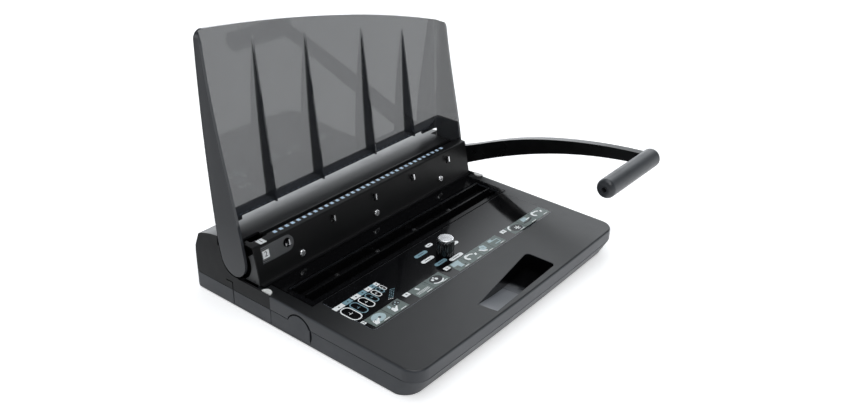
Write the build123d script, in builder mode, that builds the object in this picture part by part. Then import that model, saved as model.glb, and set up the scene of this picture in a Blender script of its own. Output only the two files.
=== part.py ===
from build123d import *
import math
import os

# Wire binding machine. All sizes are in millimetres.
# Sizes are measured from the punch line: x to the right of its middle, y to the back of
# the row of pale squares, z up from a level that lies rise above the table.

# Clearances
press_gap = 0.02
fine_gap = 0.05
loose_gap = 0.1
piece_gap = 0.15
label_gap = 0.2
moving_gap = 0.3
running_fit = 0.05
over = 5.0

# Row of holes
hole_pitch = 8.46667
hole_count = 34
die_hole = 4.1
pin_size = 3.9
mark_size = 4.0
mark_height = 0.25

# Widths, from the punch plates outwards and inwards
beam_half = 168.6
end_plate_gap = 0.4
end_plate_thickness = 4.0
end_plate_inner = beam_half + end_plate_gap
end_plate_outer = end_plate_inner + end_plate_thickness
cap_gap = 0.2
cap_width = 4.8
cap_inner = end_plate_outer + cap_gap
cap_outer = cap_inner + cap_width
plate_half = cap_outer - cap_gap
casing_side = 5.5
base_half = cap_outer + casing_side

# Casing
base_front = 229.5
base_rear = 84.0
front_bow = 2.3
front_corner = 18.0
rear_corner = 8.0
wall = 2.5
rise = 3.5
table_z = -rise
belly_z = table_z + 0.6
belly_front = 219.5
belly_rear = 76.5
belly_corner = 20.0
belly_chamfer = 0.8
heel_step = 1.0
heel_height = 3.2
seam_lip = 0.7
seam_z = 17.0
seam_gap = 0.7
seam_sink = 0.9
seam_rear = 81.0
deck_z = 33.5
deck_slope = 0.01256
deck_rear = -13.0
deck_edge_radius = 2.2
side_seam_y = -35.5
skirt_top = 33.5
deck_step_y = -24.5
deck_step_rear = 10.0

# Rear housing
housing_front = 11.3
housing_top_front = 72.8
housing_top_mid_y = 36.0
housing_top_mid = 74.9
housing_top_end_y = 66.0
housing_top_rear = 68.5
housing_edge_mid = (4.3, 2.3)
housing_edge_end = (6.2, 6.0)
housing_back_step = 5.7
housing_back_z = 49.0
housing_bulge_y = 83.7
housing_bulge_z = 22.8
recess_gap = 0.5
recess_half = end_plate_inner + recess_gap
recess_rear = 40.0
recess_floor = 63.5
groove_width = 1.3
groove_depth = 1.2
groove_y = 21.0
groove_high = 26.5
groove_rear = 31.0
pocket_floor = plate_half
pocket_gap = 1.5
pocket_rim = 2.0
pocket_bend = (0.72, 0.74)
pocket_rear = 4.7
pocket_swell = (3.7, 0.6)
pocket_swell_z = (-2.0, 14.0)
pocket_top = 80.0

# Finger scoop in the deck
scoop_points = ((-56.0, -202.0), (61.5, -183.0), (62.0, -220.0), (-52.0, -223.6))
scoop_depth = 20.0
scoop_wall = 2.0
scoop_mid_y = -200.0
scoop_sink_y = -210.0
scoop_rear = -150.0
scoop_corner = 5.0
scoop_sag = (-8.0, 7.5)

# Feet, pads and screws of the casing
foot_radius = 7.0
foot_x = base_half - 18.5
foot_front_y = -180.0
foot_rear_y = 62.0
foot_seat = 1.0
foot_round = 0.4
bumper_radius = 6.2
bumper_y = -29.8
bumper_outer_x = base_half - 0.9
bumper_height = 1.5
boss_radius = 4.0
boss_bore = 1.5
boss_front_x = base_half - 28.5
boss_rear_x = base_half - 43.5
boss_places = (
    (-boss_front_x, -200.0),
    (boss_front_x, -200.0),
    (-foot_x, -110.0),
    (foot_x, -110.0),
    (-boss_rear_x, 66.0),
    (boss_rear_x, 66.0),
)
boss_thread = 20.0
base_screw_radius = 1.4
base_screw_head = 3.0
base_screw_head_height = 1.2
post_wall = 4.0
post_front = 24.0
post_rear = 52.0

# Front plate of the punch
plate_sheet = 1.5
plate_mid = 1.5
lip_z = 75.5
lip_front = -9.0
lip_rear = 3.3
plate_lean = 0.2044
plate_foot_z = 34.9
flange_length = 4.5
plate_bend_radius = 2.2
hook_pitch = 67.7333
hook_z = 64.5
hook_slot_width = 3.0
hook_slot_height = 9.0
hook_hole_radius = 5.0
hook_width = 1.8
hook_root = 1.6
hook_out = 3.0
hook_tip = 4.6
hook_rise = 5.4
hook_shank = 1.0
plate_screw_pitch = 118.5
plate_screw_z = 45.5
plate_screw_radius = 1.7
plate_screw_head_radius = 4.0
plate_screw_head_height = 2.2
plate_screw_round = 1.3
cross_length = 4.2
cross_width = 0.9
cross_depth = 1.3
beam_depth = 6.0
beam_height = 12.0

# Marks
label_size = 8.6
label_thickness = 0.2
label_left = 2.0 - end_plate_inner
label_front = lip_front + 0.4
patch_left = -end_plate_inner
patch_mid_z = 63.7
patch_height = 18.0
tab_from_patch = 5.5

# Punching
punch_z = 51.0
die_front = 0.5
die_thickness = 3.0
throat = 2.5
guide_thickness = 2.0
guide_flare_y = 10.0
guide_flare = 9.5
guide_flare_lip = (-0.5, 1.2)
die_low = 41.0
guide_low = 41.0
paper_stop_z = 43.5
stop_height = 2.5
rear_guide_y = 18.0
rear_guide_thickness = 4.0
rear_guide_reach = 7.0
funnel_left = -end_plate_inner - 1.0
funnel_width = 21.0
funnel_right = funnel_left + funnel_width
funnel_front = 1.2
funnel_rear = 16.0
funnel_depth = 3.0

# End plates and bar caps
end_plate_low = 20.0
end_plate_toe = ((24.0, seam_z), (22.0, end_plate_low))
end_plate_front_gap = 0.5
end_plate_front_z = 35.2
end_plate_back = 5.8
bar_window_gap = 0.25
cap_arm_radius = 20.5
cap_top = ((-6.9, 67.8), (-4.0, 64.5), (4.5, 61.0))
cap_front_z = 65.5
cap_rear_z = 60.0
cap_bead_y = -8.5
cap_bead_rise = 1.8
cap_bead_radius = 0.9
cap_base_gap = 0.5

# Wire closer
closer_half = end_plate_inner - 7.0
closer_front = -76.0
closer_rear = -40.0
bed_floor = 22.0
bed_sheet = 1.5
bed_half = closer_half + bed_sheet
bed_front = -84.0
bed_rear = -38.0
closer_plate_half = end_plate_inner - 1.0
closer_plate_front = -81.0
closer_plate_rear = -22.3
closer_plate_thickness = 0.8
fixed_jaw_y = -45.5
jaw_thickness = 2.0
jaw_half = closer_half - 3.0
jaw_foot_thickness = 1.5
fixed_jaw_top = 34.6
fixed_jaw_foot = 6.5
moving_jaw_y = -62.0
moving_jaw_top = 34.0
moving_jaw_foot = 8.0
jaw_screw_first = -100.0
jaw_screw_pitch = 64.5
jaw_screw_count = 4
jaw_screw_y = -49.3
jaw_screw_radius = 1.5
jaw_screw_head_radius = 2.6
jaw_screw_head = 1.1
jaw_cross_length = 3.0
jaw_cross_width = 0.7
link_inner = bed_half + 1.0
link_thickness = 3.5
link_low = 17.6
link_high = 26.4
link_rear = 6.0
link_slot_gap = 0.95
ear_height = 3.0
ear_depth = 6.0
lug_half = 4.0
lug_low = 17.9
lug_gap = 0.6

# Drive shaft, rockers and cranks
shaft_y = 36.0
shaft_z = 33.0
shaft_radius = 6.0
shaft_left = -end_plate_outer - 3.0
bush_radius = 8.0
bush_flange_radius = 10.0
bush_flange = 1.3
hub_radius = 10.0
rocker_pitch = 120.0
rocker_width = 12.0
rocker_tip_radius = 3.8
rocker_neck = 4.0
punch_arm = 18.0
closer_arm = 11.0
crank_width = 8.0
crank_inner = link_inner - crank_width - 0.5
crank_pin_radius = 2.5
crank_cheek = 2.0
roll_pin_radius = 1.5
roll_pin_sink = 0.3
shaft_bore_gap = 0.5

# Pressure bar
bar_depth = 16.0
bar_height = 12.0
bar_half = end_plate_outer + 3.5
bar_slot_depth = 11.0
bar_slot_gap = 0.5
pin_front = 6.2
pin_seat = 2.2

# Lever
lever_back = ((42.0, 46.6), (10.6, 56.4), (-58.0, 84.4), (-165.0, 113.0), (-237.0, 121.6))
lever_belly = ((-225.0, 107.4), (-104.0, 79.8), (-5.0, 38.0), (30.0, 19.5))
lever_inner_x = base_half + 13.5
lever_thickness = 9.0
lever_outer_x = lever_inner_x + lever_thickness
lever_hub_radius = 15.0
lever_boss_radius = 12.0
lever_boss_inner = base_half + 0.8
shaft_shoulder = lever_inner_x - 0.4
square_end = 8.6
grip_y = -246.0
grip_z = 113.8
grip_radius = 11.0
grip_length = 113.0
grip_right = lever_outer_x + 10.0
grip_left = grip_right - grip_length
grip_round = 6.0
grip_bore = 4.0
grip_end_hole = 3.0
grip_core_left = grip_left + 7.0
grip_core_right = grip_right - 4.0
lever_end_radius = 8.3
lever_up = 45.0
lever_down = 18.0
washer_radius = 7.5
washer_thickness = 1.2
lever_screw_radius = 2.5
lever_screw_head_radius = 4.5
lever_screw_head = 3.2
lever_screw_depth = 5.0
socket_radius = 2.4
socket_depth = 2.2

# Cover
hinge_y = 16.0
hinge_z = 52.0
arm_disc_radius = 16.5
arm_thickness = 3.2
arm_foot = (-1.4, 55.6)
arm_toe = (3.0, 41.8)
arm_front = ((2.2, 80.0), (15.6, 142.0), (28.0, 201.5), (38.5, 279.5))
arm_heel = ((37.6, 67.0), (34.4, 51.0), (28.0, 40.2))
arm_tip = 4.0
panel_thickness = 2.6
panel_low_z = 94.0
panel_back_low = 40.5
panel_back_mid = 46.0
panel_back_top = 46.2
cover_top_left = 292.1
cover_top_mid = 266.4
cover_top_right = 221.4
cover_corner = 9.0
cover_bend_left = 2.5
cover_bend_right = 8.0
rib_inner_x = 43.6
rib_outer_x = 114.5
rib_thickness = 2.0
rib_depth = 16.0
rib_below_top = 14.5
rib_root = 1.0
ledge_front = 26.0
ledge_thickness = 2.5
ledge_drop = 0.5
ledge_left = -end_plate_inner
ledge_right = end_plate_outer - 1.0
ledge_taper = (24.0, 9.0)
web_width = 30.3
web_low_z = 81.0
hinge_pin_radius = 4.0
hinge_pin_end = base_half - 1.9

# Closing size selector
knob_y = -117.0
knob_radius = 10.0
knob_height = 16.0
knob_round = 1.0
knob_flutes = 18
flute_radius = 1.1
knob_cap_radius = 8.8
knob_cap_height = 3.0
knob_cap_round = 0.9
knob_bore_top = 2.0
selector_radius = 3.0
selector_hole_gap = 0.4
cam_radius = 25.0
cam_thickness = 3.0
cam_z = 24.0
cam_low_reach = 12.0
cam_high_reach = 20.0
cam_turn = 300.0
cam_slot_width = 4.3
cam_slot_steps = 12
follower_radius = 2.0
stop_slide_half = 9.0
stop_slide_z = 18.2
stop_slide_thickness = 2.0
stop_slide_front = -106.0
stop_slide_rear = -50.0
stop_window_front = -77.2
stop_window_rear = -54.0
slide_rail = 2.0
rail_lip = 2.0
rail_sheet = 1.5
rail_rear = 4.0
slide_pin_sink = 0.5

# Instruction panel
panel_left = 4.0 - closer_half
panel_right = closer_half - 0.5
panel_front = -154.0
panel_rear = -82.0
panel_corner = 5.0
inlay_thickness = 0.6

# Chip tray
tray_face_front = -91.5
tray_face_rear = 20.3
tray_face_high = seam_z - seam_gap
tray_face_thickness = 2.2
tray_pull_y = -76.0
tray_pull_z = 10.5
tray_pull_radius = 15.5
tray_front = -58.0
tray_rear = 15.0
tray_right = beam_half - 18.6
tray_wall = 1.5
tray_top = 15.8
tray_clear = 0.3
tray_notch_gap = 0.4
tray_pull_gap = 2.1
tray_pull_shift = 1.0
tray_score_depth = 0.6
tray_score_width = 0.8
runner_gap = 0.4
runner_height = 5.0

# The part's own frame: its origin lies under the middle of its overall box.
mid_x = -(grip_right - base_half) / 2
mid_y = (grip_radius - grip_y - base_rear) / 2

jaw_rear_y = moving_jaw_y - jaw_thickness
tray_floor = belly_z + wall + tray_clear
tray_face_low = tray_floor + tray_notch_gap - loose_gap
throat_front = die_front + die_thickness
guide_front = throat_front + throat
rocker_xs = (-rocker_pitch, 0.0, rocker_pitch)
crank_xs = (-crank_inner - crank_width / 2, crank_inner + crank_width / 2)

os.makedirs("parts", exist_ok=True)


# Planes and simple shapes

def level(z):
    return Plane(origin=(mid_x, mid_y, rise + z))


def slice_x(x):
    return Plane(origin=(mid_x + x, mid_y, rise), x_dir=(0, 1, 0), z_dir=(1, 0, 0))


def face_y(y):
    return Plane(origin=(mid_x, mid_y + y, rise), x_dir=(1, 0, 0), z_dir=(0, -1, 0))


def deck_plane(lift):
    origin = (mid_x, mid_y, rise + deck_z + lift)
    return Plane(origin=origin, x_dir=(1, 0, 0), z_dir=(0, -deck_slope, 1))


def plate_plane(depth):
    """Plane of the front plate's sloping face, a depth behind its outer surface."""
    origin = (mid_x, mid_y + lip_front, rise + lip_z)
    return Plane(origin=origin, x_dir=(1, 0, 0), z_dir=(0, -1, plate_lean)).offset(-depth)


def up_plate(z):
    """Place along the front plate's slope of a height above the table."""
    return (z - lip_z) * math.hypot(1, plate_lean)


def behind_plate(z, depth):
    """y of a line at a depth behind the front plate's outer surface, at a height."""
    return lip_front - plate_lean * (lip_z - z) + depth * math.hypot(1, plate_lean)


def deck_at(y):
    return deck_z + deck_slope * y


def slab(x0, x1, y0, y1, z0, z1, mode=Mode.ADD):
    """Block between two corners."""
    with BuildSketch(level(z0)) as plan:
        with Locations(((x0 + x1) / 2, (y0 + y1) / 2)):
            Rectangle(x1 - x0, y1 - y0)
    extrude(plan.sketch, amount=z1 - z0, mode=mode)


def side_prism(points, x0, x1, mode=Mode.ADD):
    """Prism of a side-view outline, (y, z) points, between two x."""
    with BuildSketch(slice_x(x0)) as profile:
        Polygon(*points, align=None)
    extrude(profile.sketch, amount=x1 - x0, mode=mode)


def rod_x(y, z, radius, x0, x1, mode=Mode.ADD):
    """Round rod along x."""
    with BuildSketch(slice_x(x0)) as profile:
        with Locations((y, z)):
            Circle(radius)
    extrude(profile.sketch, amount=x1 - x0, mode=mode)


def rod_z(x, y, radius, z0, z1, mode=Mode.ADD):
    """Round rod along z."""
    with BuildSketch(level(z0)) as profile:
        with Locations((x, y)):
            Circle(radius)
    extrude(profile.sketch, amount=z1 - z0, mode=mode)


def rod_y(x, z, radius, y0, y1, mode=Mode.ADD):
    """Round rod along y."""
    with BuildSketch(face_y(y1)) as profile:
        with Locations((x, z)):
            Circle(radius)
    extrude(profile.sketch, amount=y1 - y0, mode=mode)


def save(piece, name):
    piece.part.label = name
    export_step(piece.part, f"parts/{name}.step")


def rounded_plan(z, half, front, rear, front_radius, rear_radius):
    """Plan outline with a bowed front and four rounded corners."""
    with BuildSketch(level(z)) as plan:
        with BuildLine():
            ThreePointArc((-half, front + front_bow), (0, front), (half, front + front_bow))
            Line((half, front + front_bow), (half, rear))
            Line((half, rear), (-half, rear))
            Line((-half, rear), (-half, front + front_bow))
        make_face()
        fillet(plan.vertices().group_by(Axis.Y)[0], front_radius)
        fillet(plan.vertices().group_by(Axis.Y)[-1], rear_radius)
    return plan.sketch


def casing_plan(z, inset):
    """Plan outline of the casing, drawn in by an inset all round."""
    return rounded_plan(z, base_half - inset, inset - base_front, base_rear - inset,
                        front_corner - inset, rear_corner - inset)


# Lower shell: a tub with an undercut front, a notch for the chip tray and its runners

def lower_tub(inset, top):
    """Solid of the tub's shape, drawn in by an inset."""
    lean = (base_front - belly_front) / (seam_z - seam_lip - belly_z)
    slant = math.hypot(1, lean)
    reach = seam_z + wall * 4
    belly = rounded_plan(belly_z, base_half - inset, inset * slant - belly_front,
                         base_rear + reach, belly_corner - inset, rear_corner)
    with BuildPart() as tub:
        extrude(casing_plan(belly_z + inset, inset), amount=top - belly_z - inset)
        extrude(belly, amount=(reach - belly_z) * slant, dir=(0, -lean, 1), mode=Mode.INTERSECT)
        with BuildSketch(slice_x(-base_half)) as side:
            Polygon(
                (-base_front - over, belly_z),
                (-base_front - over, reach),
                (seam_rear + heel_step, reach),
                (seam_rear, seam_z),
                (seam_rear - heel_step, belly_z + heel_height),
                (belly_rear, belly_z),
                align=None,
            )
            if inset:
                offset(amount=-inset, kind=Kind.INTERSECTION)
        extrude(side.sketch, amount=2 * base_half, mode=Mode.INTERSECT)
        with BuildSketch(face_y(base_rear)) as front:
            Polygon(
                (-base_half, reach),
                (-base_half, belly_z + belly_chamfer),
                (-base_half + belly_chamfer, belly_z),
                (base_half - belly_chamfer, belly_z),
                (base_half, belly_z + belly_chamfer),
                (base_half, reach),
                align=None,
            )
            if inset:
                offset(amount=-inset, kind=Kind.INTERSECTION)
        extrude(front.sketch, amount=base_rear + base_front, mode=Mode.INTERSECT)
    return tub.part


def tray_face_profile(plane, grow):
    """Side-view outline of the tray's face with its round pull."""
    low = tray_face_low - grow
    high = seam_z if grow else tray_face_high
    pull_y = tray_pull_y - (tray_pull_shift if grow else 0)
    pull_radius = tray_pull_radius + (tray_pull_gap if grow else 0)
    with BuildSketch(plane) as profile:
        Polygon(
            (tray_face_front - grow, low),
            (tray_face_rear + grow, low),
            (tray_face_rear + grow, high),
            (tray_face_front - grow, high),
            align=None,
        )
        with Locations((pull_y, tray_pull_z)):
            Circle(pull_radius)
        with Locations((tray_pull_y, low - base_front)):
            Rectangle(2 * base_front, 2 * base_front, mode=Mode.SUBTRACT)
    return profile.sketch


tub_outside = lower_tub(0, seam_z)
tub_inside = lower_tub(wall, seam_z + wall)
notch_outline = tray_face_profile(slice_x(-base_half - 1), tray_notch_gap)
tub_floor = belly_z + wall
foot_places = [(x, y) for x in (-foot_x, foot_x) for y in (foot_front_y, foot_rear_y)]
post_inner = end_plate_inner - end_plate_gap
post_outer = end_plate_outer + post_wall

with BuildPart() as seam_ring:
    extrude(casing_plan(seam_z - seam_gap, -1), amount=seam_gap + 1)
    extrude(casing_plan(seam_z - seam_gap, seam_sink), amount=seam_gap + 1, mode=Mode.SUBTRACT)

with BuildPart() as lower_shell:
    add(tub_outside)
    add(tub_inside, mode=Mode.SUBTRACT)
    add(seam_ring.part, mode=Mode.SUBTRACT)
    extrude(notch_outline, amount=wall + belly_chamfer + over, mode=Mode.SUBTRACT)
    for runner_y in (tray_front - runner_gap, tray_rear + runner_gap + tray_wall):
        slab(-base_half + wall + 1, tray_right, runner_y - tray_wall, runner_y,
             tub_floor, tub_floor + runner_height)
    for side in (-1, 1):
        block_left = min(side * post_inner, side * post_outer)
        slab(block_left, block_left + post_outer - post_inner, post_front, post_rear, tub_floor,
             seam_z)
    for boss_x, boss_y in boss_places:
        rod_z(boss_x, boss_y, boss_radius, tub_floor, seam_z - piece_gap)
        rod_z(boss_x, boss_y, boss_bore, belly_z, seam_z, Mode.SUBTRACT)
        rod_z(boss_x, boss_y, base_screw_head + label_gap, table_z,
              belly_z + base_screw_head_height + loose_gap, Mode.SUBTRACT)
    for foot_place_x, foot_place_y in foot_places:
        rod_z(foot_place_x, foot_place_y, foot_radius + loose_gap, table_z, belly_z + foot_seat,
              Mode.SUBTRACT)
    slab(-base_half - 1, -base_half + groove_depth, groove_y - groove_width / 2,
         groove_y + groove_width / 2, tray_face_low, seam_z, Mode.SUBTRACT)
save(lower_shell, "lower_shell")

with BuildPart() as rubber_feet:
    for foot_place_x, foot_place_y in foot_places:
        rod_z(foot_place_x, foot_place_y, foot_radius, table_z, belly_z + foot_seat)
    fillet(rubber_feet.edges().group_by(Axis.Z)[0], foot_round)
save(rubber_feet, "rubber_feet")

with BuildPart() as base_screws:
    for boss_x, boss_y in boss_places:
        rod_z(boss_x, boss_y, base_screw_head, belly_z, belly_z + base_screw_head_height)
        rod_z(boss_x, boss_y, base_screw_radius, belly_z, seam_z - 2)
save(base_screws, "base_screws")


# Deck shell: sloping top with rounded edges, scoop, knob hole and closer opening

def deck_wedge(lift, y0, y1, low):
    """Side-view outline of the space under the deck's top, a lift above it."""
    return ((y0, low), (y0, deck_at(y0) + lift), (y1, deck_at(y1) + lift), (y1, low))


scoop_floor_z = deck_at(scoop_mid_y) - scoop_depth
scoop_left = scoop_points[0][0]
scoop_right = scoop_points[2][0]
scoop_mid_x = (scoop_left + scoop_right) / 2


def scoop_plan(z, grow):
    """Plan outline of the scoop at a height, rounded at its deep end and grown by an amount."""
    with BuildSketch(level(z)) as plan:
        Polygon(*scoop_points, align=None)
        fillet(plan.vertices().sort_by(Axis.X)[-2:], scoop_corner)
        if grow:
            offset(amount=grow, kind=Kind.INTERSECTION)
    return plan.sketch


def scoop_shape(grow):
    """The scoop's hollow, grown by its wall for the bowl around it."""
    top = deck_z + over if grow == 0 else deck_at(scoop_sink_y) - label_gap
    left = scoop_left - 2 * grow
    right = scoop_right + grow
    with BuildPart() as hollow:
        extrude(scoop_plan(scoop_floor_z - grow, grow), amount=top - scoop_floor_z + grow)
        with BuildSketch(face_y(scoop_rear)) as ramp:
            with BuildLine():
                ThreePointArc(
                    (left, deck_at(scoop_mid_y) - grow / 2),
                    (scoop_mid_x + scoop_sag[0], scoop_floor_z + scoop_sag[1] - grow),
                    (right, scoop_floor_z - grow),
                )
                Polyline(
                    (right, scoop_floor_z - grow),
                    (right, top),
                    (left, top),
                    (left, deck_at(scoop_mid_y) - grow / 2),
                )
            make_face()
        extrude(ramp.sketch, amount=base_front + scoop_rear, mode=Mode.INTERSECT)
    return hollow.part


scoop_hollow = scoop_shape(0)
scoop_bowl = scoop_shape(scoop_wall)

deck_boss_places = boss_places[:4]
housing_boss_places = boss_places[4:]


def deck_room():
    """Hollow of the deck shell under its top."""
    with BuildPart() as room:
        extrude(casing_plan(0, wall), amount=deck_z)
        side_prism(deck_wedge(-wall, -base_front, base_rear, -1), -base_half, base_half,
                   Mode.INTERSECT)
    return room.part


deck_hollow = deck_room()

with BuildPart() as deck_shell:
    extrude(casing_plan(seam_z, 0), amount=deck_z + over - seam_z)
    side_prism(deck_wedge(0, -base_front - 1, deck_rear, seam_z), -base_half, base_half,
               Mode.INTERSECT)
    rim = deck_shell.faces().sort_by(Axis.Z)[-1].edges().sort_by(Axis.Y)[:-1]
    fillet(rim, deck_edge_radius)
    add(deck_hollow, mode=Mode.SUBTRACT)
    for boss_x, boss_y in deck_boss_places:
        rod_z(boss_x, boss_y, boss_radius, seam_z + piece_gap, deck_at(boss_y) - 1)
        rod_z(boss_x, boss_y, boss_bore, seam_z, deck_at(boss_y) - wall - 1, Mode.SUBTRACT)
    rod_z(0, knob_y, 2 * selector_radius, cam_z + cam_thickness + moving_gap, deck_at(knob_y) - 1)
    rod_z(0, knob_y, selector_radius + running_fit, cam_z, deck_z, Mode.SUBTRACT)
    add(scoop_bowl)
    add(scoop_hollow, mode=Mode.SUBTRACT)
    slab(-closer_half, closer_half, closer_front, closer_rear, cam_z, deck_z + over,
         Mode.SUBTRACT)
    with BuildSketch(deck_plane(0)) as inlay_seat:
        with Locations(((panel_left + panel_right) / 2, (panel_front + panel_rear) / 2)):
            RectangleRounded(panel_right - panel_left + 2 * loose_gap,
                             panel_rear - panel_front + 2 * loose_gap, panel_corner)
    extrude(inlay_seat.sketch, amount=-(inlay_thickness - loose_gap), mode=Mode.SUBTRACT)
    side_steps = ((side_seam_y - piece_gap, base_half - wall - label_gap), (deck_step_y, cap_outer))
    for side in (-1, 1):
        for step_y, step_x in side_steps:
            outer = side * (base_half + 1)
            inner = side * step_x
            slab(min(inner, outer), max(inner, outer), step_y, deck_step_rear, 0, deck_z + over,
                 Mode.SUBTRACT)
    extrude(notch_outline, amount=wall + 2, mode=Mode.SUBTRACT)
save(deck_shell, "deck_shell")

with BuildPart() as cover_bumpers:
    with BuildSketch(level(skirt_top + fine_gap)) as pads:
        with Locations((-bumper_outer_x, bumper_y), (bumper_outer_x, bumper_y)):
            Circle(bumper_radius)
        with Locations((0, bumper_y)):
            Rectangle(2 * bumper_outer_x, 4 * bumper_radius, mode=Mode.INTERSECT)
    extrude(pads.sketch, amount=bumper_height)
    fillet(cover_bumpers.edges().group_by(Axis.Z)[-1], foot_round)
save(cover_bumpers, "cover_bumpers")


# Rear housing: glossy top over the punch, skirts beside it and a pocket for each cover arm

housing_crown = (housing_top_end_y, housing_top_rear)
housing_shoulder = (housing_top_end_y + housing_edge_mid[0], housing_top_rear - housing_edge_mid[1])
housing_neck = (housing_top_end_y + housing_edge_end[0], housing_top_rear - housing_edge_end[1])


def housing_side(inset):
    """Side-view outline of the rear housing, drawn in by an inset."""
    with BuildSketch(slice_x(-base_half)) as side:
        with BuildLine():
            ThreePointArc(
                (housing_front, housing_top_front),
                (housing_top_mid_y, housing_top_mid),
                housing_crown,
            )
            ThreePointArc(housing_crown, housing_shoulder, housing_neck)
            Polyline(
                housing_neck,
                (housing_bulge_y - housing_back_step, housing_back_z),
                (housing_bulge_y, housing_bulge_z),
                (seam_rear, seam_z),
                (side_seam_y, seam_z),
                (side_seam_y, skirt_top),
                (housing_front, skirt_top),
                (housing_front, housing_top_front),
            )
        make_face()
        if inset:
            offset(amount=-inset, kind=Kind.INTERSECTION)
    return side.sketch


def pocket_profile(plane, grow):
    """Side-view outline of the pocket that a cover arm turns in."""
    reach = arm_disc_radius + pocket_gap + grow
    rear = hinge_y + reach + pocket_rear
    swell_far, swell_near = pocket_swell
    swell_low = (rear - swell_far, hinge_z + pocket_swell_z[0])
    swell_mid = (rear - swell_near, hinge_z + pocket_swell_z[1])
    swell_top = (rear + swell_near, pocket_top)
    bend = (hinge_y + pocket_bend[0] * reach, hinge_z - pocket_bend[1] * reach)
    with BuildSketch(plane) as pocket:
        with BuildLine():
            ThreePointArc((hinge_y, hinge_z - reach), bend, swell_low)
            ThreePointArc(swell_low, swell_mid, swell_top)
            Polyline(
                swell_top,
                (housing_front - over, pocket_top),
                (housing_front - over, hinge_z - reach),
                (hinge_y, hinge_z - reach),
            )
        make_face()
    return pocket.sketch


def housing_room():
    """Hollow of the rear housing, clear of the walls of its recesses and pockets."""
    inner_half = base_half - wall
    with BuildPart() as room:
        extrude(housing_side(wall), amount=2 * base_half)
        extrude(casing_plan(0, wall), amount=cover_top_left, mode=Mode.INTERSECT)
        slab(-inner_half, inner_half, side_seam_y - over, seam_rear - wall, 0, seam_z + wall + 1)
        slab(-inner_half, inner_half, side_seam_y - over, housing_front + wall, 0, skirt_top + over)
        slab(-inner_half, inner_half, housing_front - over, housing_front + wall + 1, 0,
             housing_top_front - wall)
        for side in (-1, 1):
            wall_x = side * (recess_half - wall)
            far_x = side * (base_half + 1)
            slab(min(wall_x, far_x), max(wall_x, far_x), 0, recess_rear + wall,
                 recess_floor - wall, cover_top_left, Mode.SUBTRACT)
            floor_x = side * pocket_floor
            start_x = min(floor_x, far_x)
            extrude(pocket_profile(slice_x(start_x), pocket_rim), amount=abs(far_x - floor_x),
                    mode=Mode.SUBTRACT)
    return room.part


housing_hollow = housing_room()

with BuildPart() as rear_housing:
    extrude(housing_side(0), amount=2 * base_half)
    extrude(casing_plan(0, 0), amount=cover_top_left, mode=Mode.INTERSECT)
    for boss_x, boss_y in housing_boss_places:
        rod_z(boss_x, boss_y, boss_radius, seam_z + piece_gap, housing_top_rear - 1)
    add(housing_hollow, mode=Mode.SUBTRACT)
    for boss_x, boss_y in housing_boss_places:
        rod_z(boss_x, boss_y, boss_radius, seam_z + piece_gap, housing_top_rear - 1)
        rod_z(boss_x, boss_y, boss_bore, seam_z, seam_z + boss_thread, Mode.SUBTRACT)
    for side in (-1, 1):
        far_x = side * (base_half + 1)
        wall_x = side * recess_half
        slab(min(wall_x, far_x), max(wall_x, far_x), 0, recess_rear, recess_floor,
             cover_top_left, Mode.SUBTRACT)
        pocket_x = side * (pocket_floor + pocket_rim)
        extrude(pocket_profile(slice_x(min(pocket_x, far_x)), 0), amount=abs(far_x - pocket_x),
                mode=Mode.SUBTRACT)
        rod_x(hinge_y, hinge_z, hinge_pin_radius + shaft_bore_gap, min(0, far_x), max(0, far_x),
              Mode.SUBTRACT)
    rod_x(shaft_y, shaft_z, shaft_radius + shaft_bore_gap, recess_half, base_half + 1,
          Mode.SUBTRACT)
    slab(funnel_left, funnel_right, housing_front - over, funnel_rear, recess_floor,
         cover_top_left, Mode.SUBTRACT)
    slab(-base_half - 1, -base_half + groove_depth, groove_y - groove_width / 2,
         groove_y + groove_width / 2, 0, groove_high, Mode.SUBTRACT)
    slab(-base_half - 1, -base_half + groove_depth, groove_y - groove_width / 2, groove_rear,
         groove_high - groove_width, groove_high, Mode.SUBTRACT)
save(rear_housing, "rear_housing")


# Front plate of the punch, bent from one sheet

plate_foot_y = behind_plate(plate_foot_z, 0)
hook_xs = [plate_mid + k * hook_pitch for k in range(-2, 3)]
plate_screw_xs = [plate_mid + k * plate_screw_pitch for k in (-1, 0, 1)]
beam_front = plate_sheet + piece_gap

with BuildPart() as front_plate:
    with BuildSketch(slice_x(-plate_half)) as bend:
        with BuildLine():
            FilletPolyline(
                (lip_rear, lip_z),
                (lip_front, lip_z),
                (plate_foot_y, plate_foot_z),
                (plate_foot_y - flange_length, plate_foot_z),
                radius=plate_bend_radius,
            )
            offset(amount=plate_sheet, side=Side.LEFT)
        make_face()
    extrude(bend.sketch, amount=2 * plate_half)
    with BuildSketch(plate_plane(-1)) as cuts:
        with Locations((hook_xs[0], up_plate(hook_z))):
            Circle(hook_hole_radius)
        with Locations(*[(x, up_plate(hook_z)) for x in hook_xs[1:]]):
            SlotOverall(hook_slot_height, hook_slot_width, rotation=90)
        with Locations(*[(x, up_plate(plate_screw_z)) for x in plate_screw_xs]):
            Circle(plate_screw_radius + piece_gap)
    extrude(cuts.sketch, amount=-(plate_sheet + 2), mode=Mode.SUBTRACT)
    slab(funnel_left, funnel_right, funnel_front, lip_rear + 1, lip_z - funnel_depth, lip_z + 1,
         Mode.SUBTRACT)
save(front_plate, "front_plate")

with BuildPart() as plate_beam:
    with BuildSketch(plate_plane(beam_front)) as face:
        with Locations((0, up_plate(plate_screw_z))):
            Rectangle(2 * beam_half, beam_height)
        with Locations(*[(x, up_plate(plate_screw_z)) for x in plate_screw_xs]):
            Circle(plate_screw_radius + fine_gap, mode=Mode.SUBTRACT)
    extrude(face.sketch, amount=-beam_depth)
save(plate_beam, "plate_beam")

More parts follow.
